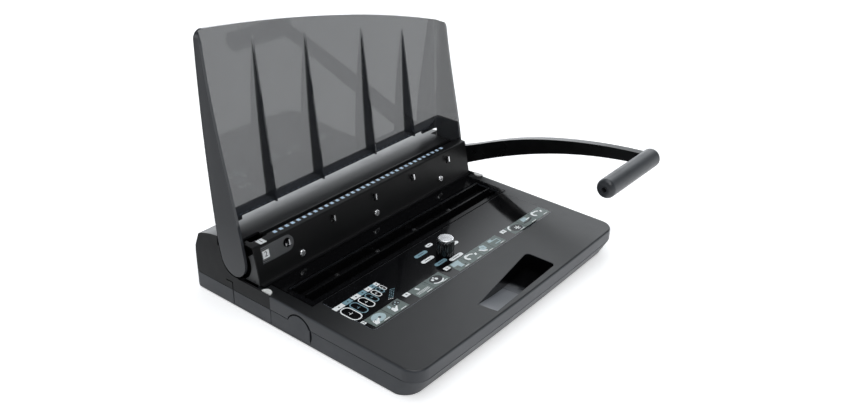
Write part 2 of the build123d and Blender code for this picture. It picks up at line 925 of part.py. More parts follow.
with BuildPart() as plate_screws:
    screw_spots = [(x, up_plate(plate_screw_z)) for x in plate_screw_xs]
    with BuildSketch(plate_plane(0)) as heads:
        with Locations(*screw_spots):
            Circle(plate_screw_head_radius)
    extrude(heads.sketch, amount=plate_screw_head_height)
    crown = plate_screws.edges().filter_by(GeomType.CIRCLE)
    top_y = mid_y + lip_front - plate_lean * (lip_z - plate_screw_z) - 1
    fillet([edge for edge in crown if edge.center().Y < top_y], plate_screw_round)
    with BuildSketch(plate_plane(0)) as shanks:
        with Locations(*screw_spots):
            Circle(plate_screw_radius)
    extrude(shanks.sketch, amount=-(plate_sheet + beam_depth - 1))
    with BuildSketch(plate_plane(-plate_screw_head_height)) as crosses:
        with Locations(*screw_spots):
            Rectangle(cross_length, cross_width)
            Rectangle(cross_width, cross_length)
    extrude(crosses.sketch, amount=-cross_depth, mode=Mode.SUBTRACT)
save(plate_screws, "plate_screws")


def hook_profile(x):
    """Side-view outline of a wire hook: root behind the plate, arm through it, prong up."""
    beam_top = plate_screw_z + beam_height / 2 + end_plate_gap
    spots = (
        (beam_front + hook_root, beam_top),
        (beam_front + hook_root, hook_z + hook_shank),
        (-hook_out, hook_z + hook_shank),
        (-hook_out, hook_z + hook_tip),
        (-hook_tip, hook_z + hook_rise),
        (-hook_tip, hook_z - hook_shank),
        (beam_front, hook_z - hook_shank),
        (beam_front, beam_top),
    )
    with BuildSketch(slice_x(x)) as hook:
        Polygon(*[(behind_plate(z, depth), z) for depth, z in spots], align=None)
    return hook.sketch


with BuildPart() as wire_hooks:
    for hook_x in hook_xs:
        extrude(hook_profile(hook_x - hook_width / 2), amount=hook_width)
save(wire_hooks, "wire_hooks")


# Marks on the front plate

with BuildPart() as hole_marks:
    with BuildSketch(level(lip_z)) as squares:
        with GridLocations(hole_pitch, 1, hole_count, 1):
            Rectangle(mark_size, mark_size)
    extrude(squares.sketch, amount=mark_height)
save(hole_marks, "hole_marks")

with BuildPart() as hatch_patch:
    with BuildSketch(plate_plane(0)) as patch:
        with Locations(((patch_left + hook_xs[0]) / 2, up_plate(patch_mid_z))):
            Rectangle(hook_xs[0] - patch_left, patch_height)
        with Locations((hook_xs[0], up_plate(patch_mid_z))):
            Circle(patch_height / 2)
        with Locations((hook_xs[0], up_plate(hook_z))):
            Circle(hook_hole_radius + label_gap, mode=Mode.SUBTRACT)
    extrude(patch.sketch, amount=label_thickness)
save(hatch_patch, "hatch_patch")

with BuildPart() as step_labels:
    slab(label_left, label_left + label_size, label_front, label_front + label_size, lip_z,
         lip_z + label_thickness)
    with BuildSketch(plate_plane(-label_thickness)) as tab:
        with Locations((patch_left + tab_from_patch, up_plate(patch_mid_z))):
            Rectangle(label_size, label_size)
    extrude(tab.sketch, amount=label_thickness)
save(step_labels, "step_labels")


# Punch plates between the end plates

def square_holes(y0, y1):
    """Row of square holes for the pins, through whatever lies between two y."""
    with BuildSketch(face_y(y1)) as row:
        with Locations((0, punch_z)):
            with GridLocations(hole_pitch, 1, hole_count, 1):
                Rectangle(die_hole, die_hole)
    extrude(row.sketch, amount=y1 - y0, mode=Mode.SUBTRACT)


with BuildPart() as die_plate:
    slab(-beam_half, beam_half, die_front, throat_front, die_low,
         lip_z - plate_sheet - loose_gap)
    square_holes(die_front - 1, throat_front + 1)
save(die_plate, "die_plate")

with BuildPart() as paper_stop:
    slab(-beam_half, beam_half, throat_front, guide_front, paper_stop_z, paper_stop_z + stop_height)
save(paper_stop, "paper_stop")

guide_back = guide_front + guide_thickness
flare_start = lip_z - guide_flare
flare_top = lip_z - label_gap
flare_lip = [guide_flare_y + step for step in guide_flare_lip]

with BuildPart() as guide_plate:
    side_prism(
        (
            (guide_front, guide_low),
            (guide_front, flare_start),
            (flare_lip[0], flare_top),
            (flare_lip[1], flare_top),
            (guide_back, flare_start),
            (guide_back, guide_low),
        ),
        -beam_half,
        beam_half,
    )
    square_holes(guide_front - 1, guide_back + 1)
    slab(funnel_left, funnel_right, guide_front - 1, funnel_rear, flare_start, lip_z + 1,
         Mode.SUBTRACT)
save(guide_plate, "guide_plate")

with BuildPart() as rear_guide:
    slab(-beam_half, beam_half, rear_guide_y, rear_guide_y + rear_guide_thickness,
         punch_z - rear_guide_reach, punch_z + rear_guide_reach)
    square_holes(rear_guide_y - 1, rear_guide_y + rear_guide_thickness + 1)
save(rear_guide, "rear_guide")


# End plates, which carry the punch plates, the shaft and the cover's hinge pins

punch_forward = math.radians(lever_down) * punch_arm
punch_back = math.radians(lever_up) * punch_arm
bar_front = shaft_y - bar_depth / 2
bar_rear = shaft_y + bar_depth / 2
bar_low = punch_z - bar_height / 2
bar_high = punch_z + bar_height / 2
plate_front_low = deck_rear + end_plate_front_gap
end_plate_top = lip_z - plate_sheet - end_plate_front_gap
end_plate_step_y = housing_front - 1.0
end_plate_shoulder = recess_floor - wall - moving_gap
end_plate_rear = bar_rear + punch_back + end_plate_back


def end_plate(x0):
    with BuildPart() as plate:
        side_prism(
            (
                (plate_front_low, end_plate_low),
                (plate_front_low, end_plate_front_z),
                (behind_plate(end_plate_front_z, beam_front), end_plate_front_z),
                (behind_plate(end_plate_top, beam_front), end_plate_top),
                (end_plate_step_y, end_plate_top),
                (end_plate_step_y, end_plate_shoulder),
                (end_plate_rear, end_plate_shoulder),
                (end_plate_rear, seam_z),
                *end_plate_toe,
            ),
            x0,
            x0 + end_plate_thickness,
        )
        rod_x(shaft_y, shaft_z, bush_radius, x0, x0 + end_plate_thickness, Mode.SUBTRACT)
        rod_x(hinge_y, hinge_z, hinge_pin_radius + running_fit, x0, x0 + end_plate_thickness,
              Mode.SUBTRACT)
        slab(x0, x0 + end_plate_thickness, bar_front - punch_forward - moving_gap,
             bar_rear + punch_back + moving_gap, bar_low - bar_window_gap,
             bar_high + bar_window_gap, Mode.SUBTRACT)
    return plate


end_plate_left = end_plate(-end_plate_outer)
save(end_plate_left, "end_plate_left")

end_plate_right = end_plate(end_plate_inner)
save(end_plate_right, "end_plate_right")

with BuildPart() as shaft_bushes:
    for side in (-1, 1):
        inner = side * end_plate_inner
        outer = side * end_plate_outer
        brim = side * (end_plate_outer + bush_flange)
        rod_x(shaft_y, shaft_z, bush_radius, min(inner, outer), max(inner, outer))
        rod_x(shaft_y, shaft_z, bush_flange_radius, min(outer, brim), max(outer, brim))
        rod_x(shaft_y, shaft_z, shaft_radius + running_fit, min(inner, brim), max(inner, brim),
              Mode.SUBTRACT)
save(shaft_bushes, "shaft_bushes")


def bar_cap(x0, x1):
    """Plastic end of the punch bar, hollowed round the cover's arm."""
    base = skirt_top + cap_base_gap
    rear = housing_front - cap_base_gap
    with BuildPart() as cap:
        side_prism(
            (
                (behind_plate(base, beam_front), base),
                (behind_plate(cap_front_z, beam_front), cap_front_z),
                *cap_top,
                (rear, cap_rear_z),
                (rear, base),
            ),
            x0,
            x1,
        )
        rod_x(hinge_y, hinge_z, cap_arm_radius, x0, x1, Mode.SUBTRACT)
        rod_x(cap_bead_y, base + cap_bead_rise, cap_bead_radius, x0, x1, Mode.SUBTRACT)
    return cap


bar_cap_left = bar_cap(-cap_outer, -cap_inner)
save(bar_cap_left, "bar_cap_left")

bar_cap_right = bar_cap(cap_inner, cap_outer)
save(bar_cap_right, "bar_cap_right")


# Drive shaft with its rockers and cranks

with BuildPart() as drive_shaft:
    rod_x(shaft_y, shaft_z, shaft_radius, shaft_left, shaft_shoulder)
    slab(shaft_shoulder, lever_outer_x, shaft_y - square_end / 2, shaft_y + square_end / 2,
         shaft_z - square_end / 2, shaft_z + square_end / 2)
    rod_x(shaft_y, shaft_z, lever_screw_radius + fine_gap, shaft_shoulder - lever_screw_depth - 1,
          lever_outer_x,
          Mode.SUBTRACT)
    for pin_x in rocker_xs + crank_xs:
        rod_y(pin_x, shaft_z, roll_pin_radius, shaft_y - hub_radius, shaft_y + hub_radius,
              Mode.SUBTRACT)
save(drive_shaft, "drive_shaft")

with BuildPart() as punch_rockers:
    for rocker_x in rocker_xs:
        left = rocker_x - rocker_width / 2
        right = rocker_x + rocker_width / 2
        rod_x(shaft_y, shaft_z, hub_radius, left, right)
        rod_x(shaft_y, punch_z, rocker_tip_radius, left, right)
        slab(left, right, shaft_y - rocker_neck / 2, shaft_y + rocker_neck / 2, shaft_z, punch_z)
        rod_x(shaft_y, shaft_z, shaft_radius, left, right, Mode.SUBTRACT)
        rod_y(rocker_x, shaft_z, roll_pin_radius, shaft_y - hub_radius, shaft_y + hub_radius,
              Mode.SUBTRACT)
save(punch_rockers, "punch_rockers")

closer_open = math.radians(lever_up) * closer_arm
closer_shut = math.radians(lever_down) * closer_arm
crank_pin_z = shaft_z - closer_arm
link_notch = 2 * (crank_pin_radius + link_slot_gap)

with BuildPart() as closer_cranks:
    for side in (-1, 1):
        inner = side * crank_inner
        outer = side * (crank_inner + crank_width)
        tip = side * (link_inner + link_thickness + shaft_bore_gap)
        left = min(inner, outer)
        right = max(inner, outer)
        rod_x(shaft_y, shaft_z, hub_radius, left, right)
        rod_x(shaft_y, crank_pin_z, crank_pin_radius + crank_cheek, left, right)
        slab(left, right, shaft_y - crank_pin_radius - crank_cheek,
             shaft_y + crank_pin_radius + crank_cheek, crank_pin_z, shaft_z)
        rod_x(shaft_y, crank_pin_z, crank_pin_radius, min(inner, tip), max(inner, tip))
        rod_x(shaft_y, shaft_z, shaft_radius, left, right, Mode.SUBTRACT)
        rod_y((left + right) / 2, shaft_z, roll_pin_radius, shaft_y - hub_radius,
              shaft_y + hub_radius, Mode.SUBTRACT)
save(closer_cranks, "closer_cranks")

with BuildPart() as roll_pins:
    for pin_x in rocker_xs + crank_xs:
        rod_y(pin_x, shaft_z, roll_pin_radius, shaft_y - hub_radius + roll_pin_sink,
              shaft_y + hub_radius - roll_pin_sink)
save(roll_pins, "roll_pins")


# Pin carriage

with BuildPart() as pressure_bar:
    slab(-bar_half, bar_half, bar_front, bar_rear, bar_low, bar_high)
    with BuildSketch(face_y(bar_front + pin_seat)) as seats:
        with Locations((0, punch_z)):
            with GridLocations(hole_pitch, 1, hole_count, 1):
                Rectangle(pin_size, pin_size)
    extrude(seats.sketch, amount=pin_seat, mode=Mode.SUBTRACT)
    for rocker_x in rocker_xs:
        slab(rocker_x - rocker_width / 2 - bar_slot_gap, rocker_x + rocker_width / 2 + bar_slot_gap,
             shaft_y - bar_slot_depth / 2, shaft_y + bar_slot_depth / 2, bar_low, bar_high,
             Mode.SUBTRACT)
save(pressure_bar, "pressure_bar")

with BuildPart() as punch_pins:
    with BuildSketch(face_y(bar_front + pin_seat)) as tips:
        with Locations((0, punch_z)):
            with GridLocations(hole_pitch, 1, hole_count, 1):
                Rectangle(pin_size, pin_size)
    extrude(tips.sketch, amount=bar_front + pin_seat - pin_front)
save(punch_pins, "punch_pins")


# Lever with its grip

def lever_outline(plane, grow):
    """Side-view outline of the lever's arm, from its hub to the rod in its grip."""
    with BuildSketch(plane) as side:
        with BuildLine():
            Spline(*lever_back)
            Polyline(
                lever_back[-1],
                (grip_y, grip_z + lever_end_radius),
                (grip_y, grip_z - lever_end_radius),
                lever_belly[0],
            )
            Spline(*lever_belly)
            Line(lever_belly[-1], lever_back[0])
        make_face()
        with Locations((shaft_y, shaft_z)):
            Circle(lever_hub_radius)
        with Locations((grip_y, grip_z)):
            Circle(lever_end_radius)
        if grow:
            offset(amount=grow)
    return side.sketch


with BuildPart() as lever_arm:
    extrude(lever_outline(slice_x(lever_inner_x), 0), amount=lever_thickness)
    rod_x(shaft_y, shaft_z, lever_boss_radius, lever_boss_inner, lever_inner_x)
    rod_x(shaft_y, shaft_z, shaft_radius + piece_gap, lever_boss_inner, shaft_shoulder + loose_gap,
          Mode.SUBTRACT)
    square_hole = square_end / 2 + fine_gap
    slab(shaft_shoulder, lever_outer_x, shaft_y - square_hole, shaft_y + square_hole,
         shaft_z - square_hole, shaft_z + square_hole, Mode.SUBTRACT)
    rod_x(grip_y, grip_z, grip_bore + fine_gap, lever_inner_x, lever_outer_x, Mode.SUBTRACT)
save(lever_arm, "lever_arm")

with BuildPart() as lever_screw:
    washer_end = lever_outer_x + washer_thickness
    rod_x(shaft_y, shaft_z, washer_radius, lever_outer_x, washer_end)
    rod_x(shaft_y, shaft_z, lever_screw_head_radius, washer_end, washer_end + lever_screw_head)
    rod_x(shaft_y, shaft_z, lever_screw_radius, shaft_shoulder - lever_screw_depth, washer_end)
    with BuildSketch(slice_x(washer_end + lever_screw_head)) as socket:
        with Locations((shaft_y, shaft_z)):
            RegularPolygon(radius=socket_radius, side_count=6)
    extrude(socket.sketch, amount=-socket_depth, mode=Mode.SUBTRACT)
save(lever_screw, "lever_screw")

with BuildPart() as grip_core:
    rod_x(grip_y, grip_z, grip_bore, grip_core_left, grip_core_right)
save(grip_core, "grip_core")

with BuildPart() as lever_grip:
    rod_x(grip_y, grip_z, grip_radius, grip_left, grip_right)
    fillet(lever_grip.edges().filter_by(GeomType.CIRCLE), grip_round)
    rod_x(grip_y, grip_z, grip_bore + fine_gap, grip_core_left - loose_gap,
          grip_core_right + loose_gap, Mode.SUBTRACT)
    rod_x(grip_y, grip_z, grip_end_hole, grip_left, grip_core_left, Mode.SUBTRACT)
    extrude(lever_outline(slice_x(lever_inner_x - loose_gap), loose_gap),
            amount=lever_thickness + 2 * loose_gap, mode=Mode.SUBTRACT)
save(lever_grip, "lever_grip")


# Cover: smoked panel, side arms, ribs and ledge in one moulding

def panel_back(z):
    """y of the panel's rear surface at a height, on the arc through its three points."""
    mid_z = (panel_low_z + cover_top_left) / 2
    half = (cover_top_left - panel_low_z) / 2
    share = (z - mid_z) / half
    tilt = (panel_back_top - panel_back_low) / 2
    bulge = panel_back_mid - (panel_back_top + panel_back_low) / 2
    return panel_back_mid + tilt * share - bulge * share * share


def cover_top(x):
    """Height of the cover's sloping top edge."""
    share = x / base_half
    tilt = (cover_top_right - cover_top_left) / 2
    bulge = cover_top_mid - (cover_top_right + cover_top_left) / 2
    return cover_top_mid + tilt * share - bulge * share * share


def panel_arc(depth):
    """Side-view line of the panel, a depth in front of its rear surface."""
    mid_z = (panel_low_z + cover_top_left) / 2
    return ThreePointArc(
        (panel_back(panel_low_z) - depth, panel_low_z),
        (panel_back(mid_z) - depth, mid_z),
        (panel_back(cover_top_left) - depth, cover_top_left),
    )


def arm_profile(plane):
    """Side-view outline of a cover arm, from its disc up to the top of the panel."""
    disc_low = (hinge_y, hinge_z - arm_disc_radius)
    tip_y = panel_back(cover_top_left)
    with BuildSketch(plane) as side:
        with BuildLine():
            Spline(arm_foot, *arm_front)
            Polyline(arm_front[-1], (tip_y - arm_tip, cover_top_left), (tip_y, cover_top_left))
            back = panel_arc(0)
            ThreePointArc(back @ 0, arm_heel[0], arm_heel[1])
            ThreePointArc(arm_heel[1], arm_heel[2], disc_low)
            ThreePointArc(disc_low, arm_toe, arm_foot)
        make_face()
    return side.sketch


rib_xs = (-rib_outer_x, -rib_inner_x, rib_inner_x, rib_outer_x)
arm_inner_x = base_half - arm_thickness
cover_low_z = hinge_z - arm_disc_radius - 2

with BuildPart() as cover:
    with BuildSketch(slice_x(-base_half)) as sheet:
        with BuildLine():
            rear_line = panel_arc(0)
            front_line = panel_arc(panel_thickness)
            Line(rear_line @ 0, front_line @ 0)
            Line(rear_line @ 1, front_line @ 1)
        make_face()
    extrude(sheet.sketch, amount=2 * base_half)
    for side in (-1, 1):
        start_x = min(side * arm_inner_x, side * base_half)
        extrude(arm_profile(slice_x(start_x)), amount=arm_thickness)
    for rib_x in rib_xs:
        tip_z = cover_top(rib_x) - rib_below_top
        root_zs = (panel_low_z, (panel_low_z + tip_z) / 2, tip_z)
        with BuildSketch(slice_x(rib_x - rib_thickness / 2)) as rib:
            with BuildLine():
                root = ThreePointArc(*[(panel_back(z) - rib_root, z) for z in root_zs])
                Polyline(
                    root @ 0,
                    (panel_back(panel_low_z) - panel_thickness - rib_depth, panel_low_z),
                    (panel_back(tip_z) - panel_thickness, tip_z),
                    root @ 1,
                )
            make_face()
        extrude(rib.sketch, amount=rib_thickness)
    for side in (-1, 1):
        web = (side * (arm_inner_x - web_width), side * arm_inner_x)
        slab(min(web), max(web), panel_back_low - panel_thickness, panel_back_low, web_low_z,
             panel_low_z)
    with BuildSketch(level(panel_low_z - ledge_drop)) as ledge:
        Polygon(
            (ledge_left, ledge_front),
            (ledge_left, panel_back_low - rib_root),
            (ledge_right, panel_back_low - rib_root),
            (ledge_right, ledge_front + ledge_taper[1]),
            (ledge_right - ledge_taper[0], ledge_front),
            align=None,
        )
    extrude(ledge.sketch, amount=ledge_thickness)
    with BuildSketch(face_y(base_rear)) as outline:
        with BuildLine():
            crest = ThreePointArc((-base_half, cover_top_left - moving_gap), (0, cover_top_mid),
                                  (base_half, cover_top_right))
            Polyline(crest @ 1, (base_half, cover_low_z), (-base_half, cover_low_z), crest @ 0)
        make_face()
        fillet(outline.vertices().group_by(Axis.Y)[-1], cover_corner)
        right_corner = outline.vertices().group_by(Axis.X)[-1].sort_by(Axis.Y)[-1]
        fillet(right_corner, cover_corner)
    extrude(outline.sketch, amount=2 * base_rear, mode=Mode.INTERSECT)
    for side, bend in ((-1, cover_bend_left), (1, cover_bend_right)):
        corners = [
            edge for edge in cover.edges().filter_by(GeomType.CIRCLE)
            if abs(edge.center().X - mid_x - side * arm_inner_x) < fine_gap
            and edge.length > panel_low_z
        ]
        fillet(corners, bend)
    for side in (-1, 1):
        ends = (side * arm_inner_x, side * (hinge_pin_end + loose_gap))
        rod_x(hinge_y, hinge_z, hinge_pin_radius + press_gap, min(ends), max(ends), Mode.SUBTRACT)
save(cover, "cover")

with BuildPart() as hinge_pins:
    for side in (-1, 1):
        ends = (side * end_plate_inner, side * hinge_pin_end)
        rod_x(hinge_y, hinge_z, hinge_pin_radius, min(ends), max(ends))
save(hinge_pins, "hinge_pins")


# Wire closer: a pan under the deck, a fixed jaw and a sliding jaw

slot_front = jaw_rear_y - closer_open - moving_gap
slot_rear = moving_jaw_y + closer_shut + moving_gap
rail_inner = stop_slide_half + moving_gap
rail_low = stop_slide_z - moving_gap - rail_sheet
rail_end = stop_slide_rear + rail_rear
bed_wall_front = deck_at(bed_front) - wall - loose_gap
bed_wall_rear = deck_at(bed_rear) - wall - loose_gap

with BuildPart() as closer_bed:
    slab(-bed_half, bed_half, bed_front, bed_rear, bed_floor - bed_sheet, bed_floor)
    slab(-bed_half, bed_half, bed_front, bed_front + bed_sheet, bed_floor - bed_sheet,
         bed_wall_front)
    slab(-bed_half, bed_half, bed_rear - bed_sheet, bed_rear, bed_floor - bed_sheet,
         bed_wall_rear)
    slab(-lug_half - lug_gap, lug_half + lug_gap, slot_front, slot_rear, bed_floor - bed_sheet,
         bed_floor, Mode.SUBTRACT)
    for side in (-1, 1):
        rail = (side * rail_inner, side * (rail_inner + slide_rail))
        lip = (side * (rail_inner - rail_lip), side * (rail_inner + slide_rail))
        slab(min(rail), max(rail), bed_front, rail_end, rail_low, bed_floor - bed_sheet)
        slab(min(lip), max(lip), bed_front, rail_end, rail_low, rail_low + rail_sheet)
save(closer_bed, "closer_bed")

with BuildPart() as closer_plate:
    with BuildSketch(deck_plane(fine_gap)) as surround:
        with Locations((0, (closer_plate_front + closer_plate_rear) / 2)):
            Rectangle(2 * closer_plate_half, closer_plate_rear - closer_plate_front)
        with Locations((0, (closer_front + closer_rear) / 2)):
            Rectangle(2 * closer_half, closer_rear - closer_front, mode=Mode.SUBTRACT)
    extrude(surround.sketch, amount=closer_plate_thickness)
save(closer_plate, "closer_plate")

jaw_screw_xs = [jaw_screw_first + k * jaw_screw_pitch for k in range(jaw_screw_count)]
foot_top = bed_floor + jaw_foot_thickness

with BuildPart() as fixed_jaw:
    slab(-jaw_half, jaw_half, fixed_jaw_y, fixed_jaw_y + jaw_thickness, bed_floor, fixed_jaw_top)
    slab(-jaw_half, jaw_half, fixed_jaw_y - fixed_jaw_foot, fixed_jaw_y, bed_floor, foot_top)
    for screw_x in jaw_screw_xs:
        rod_z(screw_x, jaw_screw_y, jaw_screw_radius + loose_gap, bed_floor, foot_top,
              Mode.SUBTRACT)
save(fixed_jaw, "fixed_jaw")

with BuildPart() as jaw_screws:
    for screw_x in jaw_screw_xs:
        rod_z(screw_x, jaw_screw_y, jaw_screw_head_radius, foot_top, foot_top + jaw_screw_head)
        rod_z(screw_x, jaw_screw_y, jaw_screw_radius, bed_floor, foot_top)
    with BuildSketch(level(foot_top + jaw_screw_head)) as crosses:
        with Locations(*[(x, jaw_screw_y) for x in jaw_screw_xs]):
            Rectangle(jaw_cross_length, jaw_cross_width)
            Rectangle(jaw_cross_width, jaw_cross_length)
    extrude(crosses.sketch, amount=-jaw_cross_width, mode=Mode.SUBTRACT)
save(jaw_screws, "jaw_screws")

link_outer = link_inner + link_thickness
ear_inner = jaw_half - 2
ear_front = jaw_rear_y - ear_depth / 2

with BuildPart() as moving_jaw:
    low = bed_floor + loose_gap
    slab(-jaw_half, jaw_half, jaw_rear_y, moving_jaw_y, low, moving_jaw_top)
    slab(-jaw_half, jaw_half, jaw_rear_y - moving_jaw_foot, jaw_rear_y, low,
         low + jaw_foot_thickness)
    slab(-lug_half, lug_half, jaw_rear_y, moving_jaw_y, lug_low, low)
    for side in (-1, 1):
        ends = (side * ear_inner, side * link_outer)
        slab(min(ends), max(ends), ear_front, ear_front + ear_depth, link_high,
             link_high + ear_height)
save(moving_jaw, "moving_jaw")

with BuildPart() as closer_links:
    for side in (-1, 1):
        ends = (side * link_inner, side * link_outer)
        slab(min(ends), max(ends), ear_front, shaft_y + link_rear, link_low, link_high)
        slab(min(ends), max(ends), shaft_y - link_notch / 2, shaft_y + link_notch / 2,
             crank_pin_z - crank_pin_radius - moving_gap, link_high, Mode.SUBTRACT)
save(closer_links, "closer_links")


# Closing size selector: knob and cap above the deck, a spiral cam and a stop slide below

knob_base_z = deck_at(knob_y) + inlay_thickness + moving_gap
knob_top_z = knob_base_z + knob_height
cam_mid_reach = (cam_low_reach + cam_high_reach) / 2
cam_rise = (cam_high_reach - cam_low_reach) / cam_turn


def spiral_point(turn, offset):
    """Point of the cam's slot that meets the follower at a turn, beside its middle line."""
    reach = cam_mid_reach + cam_rise * turn + offset
    angle = math.radians(90 - turn)
    return (reach * math.cos(angle), knob_y + reach * math.sin(angle))


slot_turns = [cam_turn * (k / cam_slot_steps - 0.5) for k in range(cam_slot_steps + 1)]
half_slot = cam_slot_width / 2

with BuildPart() as knob_body:
    rod_z(0, knob_y, knob_radius, knob_base_z, knob_top_z)
    fillet(knob_body.edges().group_by(Axis.Z)[-1], knob_round)
    with BuildSketch(level(knob_base_z)) as flutes:
        with Locations((0, knob_y)):
            with PolarLocations(knob_radius, knob_flutes):
                Circle(flute_radius)
    extrude(flutes.sketch, amount=knob_height, mode=Mode.SUBTRACT)
    rod_z(0, knob_y, selector_radius + press_gap, knob_base_z, knob_top_z - knob_bore_top,
          Mode.SUBTRACT)
save(knob_body, "knob_body")

with BuildPart() as knob_cap:
    rod_z(0, knob_y, knob_cap_radius, knob_top_z, knob_top_z + knob_cap_height)
    fillet(knob_cap.edges().group_by(Axis.Z)[-1], knob_cap_round)
save(knob_cap, "knob_cap")

with BuildPart() as selector_shaft:
    rod_z(0, knob_y, selector_radius, cam_z - 2, knob_top_z - knob_bore_top - loose_gap)
save(selector_shaft, "selector_shaft")

with BuildPart() as selector_cam:
    with BuildSketch(level(cam_z)) as disc:
        with Locations((0, knob_y)):
            Circle(cam_radius)
            Circle(selector_radius + press_gap, mode=Mode.SUBTRACT)
        with BuildLine():
            outer = Spline(*[spiral_point(turn, half_slot) for turn in slot_turns])
            inner = Spline(*[spiral_point(turn, -half_slot) for turn in slot_turns])
            Line(outer @ 0, inner @ 0)
            Line(outer @ 1, inner @ 1)
        make_face(mode=Mode.SUBTRACT)
        with Locations(spiral_point(-cam_turn / 2, 0), spiral_point(cam_turn / 2, 0)):
            Circle(half_slot, mode=Mode.SUBTRACT)
    extrude(disc.sketch, amount=cam_thickness)
save(selector_cam, "selector_cam")

stop_slide_top = stop_slide_z + stop_slide_thickness

with BuildPart() as stop_slide:
    slab(-stop_slide_half, stop_slide_half, stop_slide_front, stop_slide_rear, stop_slide_z,
         stop_slide_top)
    slab(-lug_half - lug_gap, lug_half + lug_gap, stop_window_front, stop_window_rear,
         stop_slide_z, stop_slide_top, Mode.SUBTRACT)
    rod_z(0, knob_y + cam_mid_reach, follower_radius, stop_slide_top,
          cam_z + cam_thickness - slide_pin_sink)
save(stop_slide, "stop_slide")

with BuildPart() as instruction_panel:
    with BuildSketch(deck_plane(loose_gap - inlay_thickness)) as inlay:
        with Locations(((panel_left + panel_right) / 2, (panel_front + panel_rear) / 2)):
            RectangleRounded(panel_right - panel_left, panel_rear - panel_front, panel_corner)
        with Locations((0, knob_y)):
            Circle(selector_radius + selector_hole_gap, mode=Mode.SUBTRACT)
    extrude(inlay.sketch, amount=inlay_thickness)
save(instruction_panel, "instruction_panel")


# Chip tray, a drawer that slides out to the left

face_inner = -base_half + tray_face_thickness

with BuildPart() as chip_tray:
    slab(face_inner, tray_right, tray_front, tray_rear, tray_floor, tray_top)
    slab(face_inner, tray_right - tray_wall, tray_front + tray_wall, tray_rear - tray_wall,
         tray_floor + tray_wall, tray_top, Mode.SUBTRACT)
    extrude(tray_face_profile(slice_x(-base_half), 0), amount=tray_face_thickness)
    slab(-base_half, -base_half + tray_score_depth, side_seam_y - tray_score_width, side_seam_y,
         belly_z + heel_height, tray_face_high, Mode.SUBTRACT)
save(chip_tray, "chip_tray")

print("frame offset", mid_x, mid_y, rise)
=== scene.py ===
# Looks of a wire binding machine. Lengths are in metres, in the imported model's frame. Those of the
# art on its panel are in millimetres from the machine's middle and the punch line.
import math

import bmesh
import bpy
from mathutils import Matrix, Vector


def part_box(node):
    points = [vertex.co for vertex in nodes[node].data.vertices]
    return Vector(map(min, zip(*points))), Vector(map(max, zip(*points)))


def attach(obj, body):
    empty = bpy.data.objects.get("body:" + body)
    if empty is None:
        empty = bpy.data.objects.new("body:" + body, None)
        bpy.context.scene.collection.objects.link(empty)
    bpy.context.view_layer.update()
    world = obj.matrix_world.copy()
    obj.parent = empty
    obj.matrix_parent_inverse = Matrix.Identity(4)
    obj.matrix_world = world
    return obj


MM = 0.001

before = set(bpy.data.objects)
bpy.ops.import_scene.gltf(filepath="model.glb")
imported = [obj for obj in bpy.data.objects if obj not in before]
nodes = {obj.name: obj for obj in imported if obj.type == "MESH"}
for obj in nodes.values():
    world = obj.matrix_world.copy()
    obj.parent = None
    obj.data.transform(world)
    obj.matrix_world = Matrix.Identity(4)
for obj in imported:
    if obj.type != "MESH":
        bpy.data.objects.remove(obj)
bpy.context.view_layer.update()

# Places in the frame: x of the machine's middle and y of the punch line
squares_low, squares_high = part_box("hole_marks")
middle_x = (squares_low.x + squares_high.x) / 2
punch_y = (squares_low.y + squares_high.y) / 2

# Deck: its rise for each metre towards the back, and its height at the punch line
deck_slope = 0.01256
deck_zero = 37.0 * MM

# Finger scoop: the fading edges of its mask, how far under the deck its ramp turns black as painted
# shade, and how much of the roughness is left there
scoop_x = [middle_x + x * MM for x in (-60, -58, 64, 66)]
scoop_y = [punch_y + y * MM for y in (-226, -225, -181, -180)]
scoop_edge = (-1.0 * MM, -0.6 * MM)
scoop_shade_depths = (-17.0 * MM, -13.0 * MM)
scoop_gloss = 0.06

# Smoked cover: where its arms, ribs and ledge lie, how solid one face looks at the panel, at the
# thick parts and at the left and right arm, and how the panel's bow tilts its mirror image
arm_inner = 180.0 * MM
rib_outer = 168.0 * MM
ledge_top = 99.6 * MM
cover_fade = 0.5 * MM
panel_alpha = 0.64
thick_alpha = 0.94
arm_alphas = (0.985, 0.66)
panel_bow = -0.04

# How squarely a face points along an axis, as the ends of a fade, and the roughness that matt ends
# have on top
top_facing = (0.55, 0.95)
end_facing = (0.6, 0.9)
side_facing = (0.5, 0.8)
end_matt = 0.33

# Camera of the photograph
camera_place = (-0.70987, -0.54952, 0.55343)
camera_right = (0.62729796, -0.77847927, 0.02161695)
camera_up = (0.35241784, 0.30851197, 0.88352817)
camera_lens = 38.76
sensor_width = 36.0

# Light levels of the sky: a band round the horizon that is dim on the left and bright at the back,
# a soft box at the back right that leans with its height, a round one overhead, and a dim, cool sky
# between them. Turns are in radians from +X, heights are sines of the elevation, and sides are
# parts of the direction along X or Y. The camera sees the sky as plain white.
sky_tint = (0.93, 0.965, 1.0)
sky_seen = 1.1
sky_between = 0.024
band_level = 0.72
band_heights = (0.25, 0.43)
band_dim = 0.25
band_dim_sides = (-0.9, -0.1)
band_bright = 3.8
band_bright_sides = (0.2, 0.6)
box_level = 2.4
box_turns = (-0.75, -0.55, -0.06, 0.1)
box_lean = 1.1
box_heights = (0.24, 0.34, 0.68, 0.84)
top_level = 2.0
top_heights = (0.84, 0.9)

# Key lamp
key_place = (-0.6, -0.78, 1.45)
key_target = (0, 0, 0.05)
key_size = (0.6, 0.4)
key_power = 5.0

# Floor: half its width, its colour and glow, and the part that mirrors see dimmer, on the left
floor_half = 6.0
floor_white = (0.85, 0.85, 0.85)
floor_glow = 0.5
floor_dim = 0.45
floor_dim_x = (-0.3, -0.12)

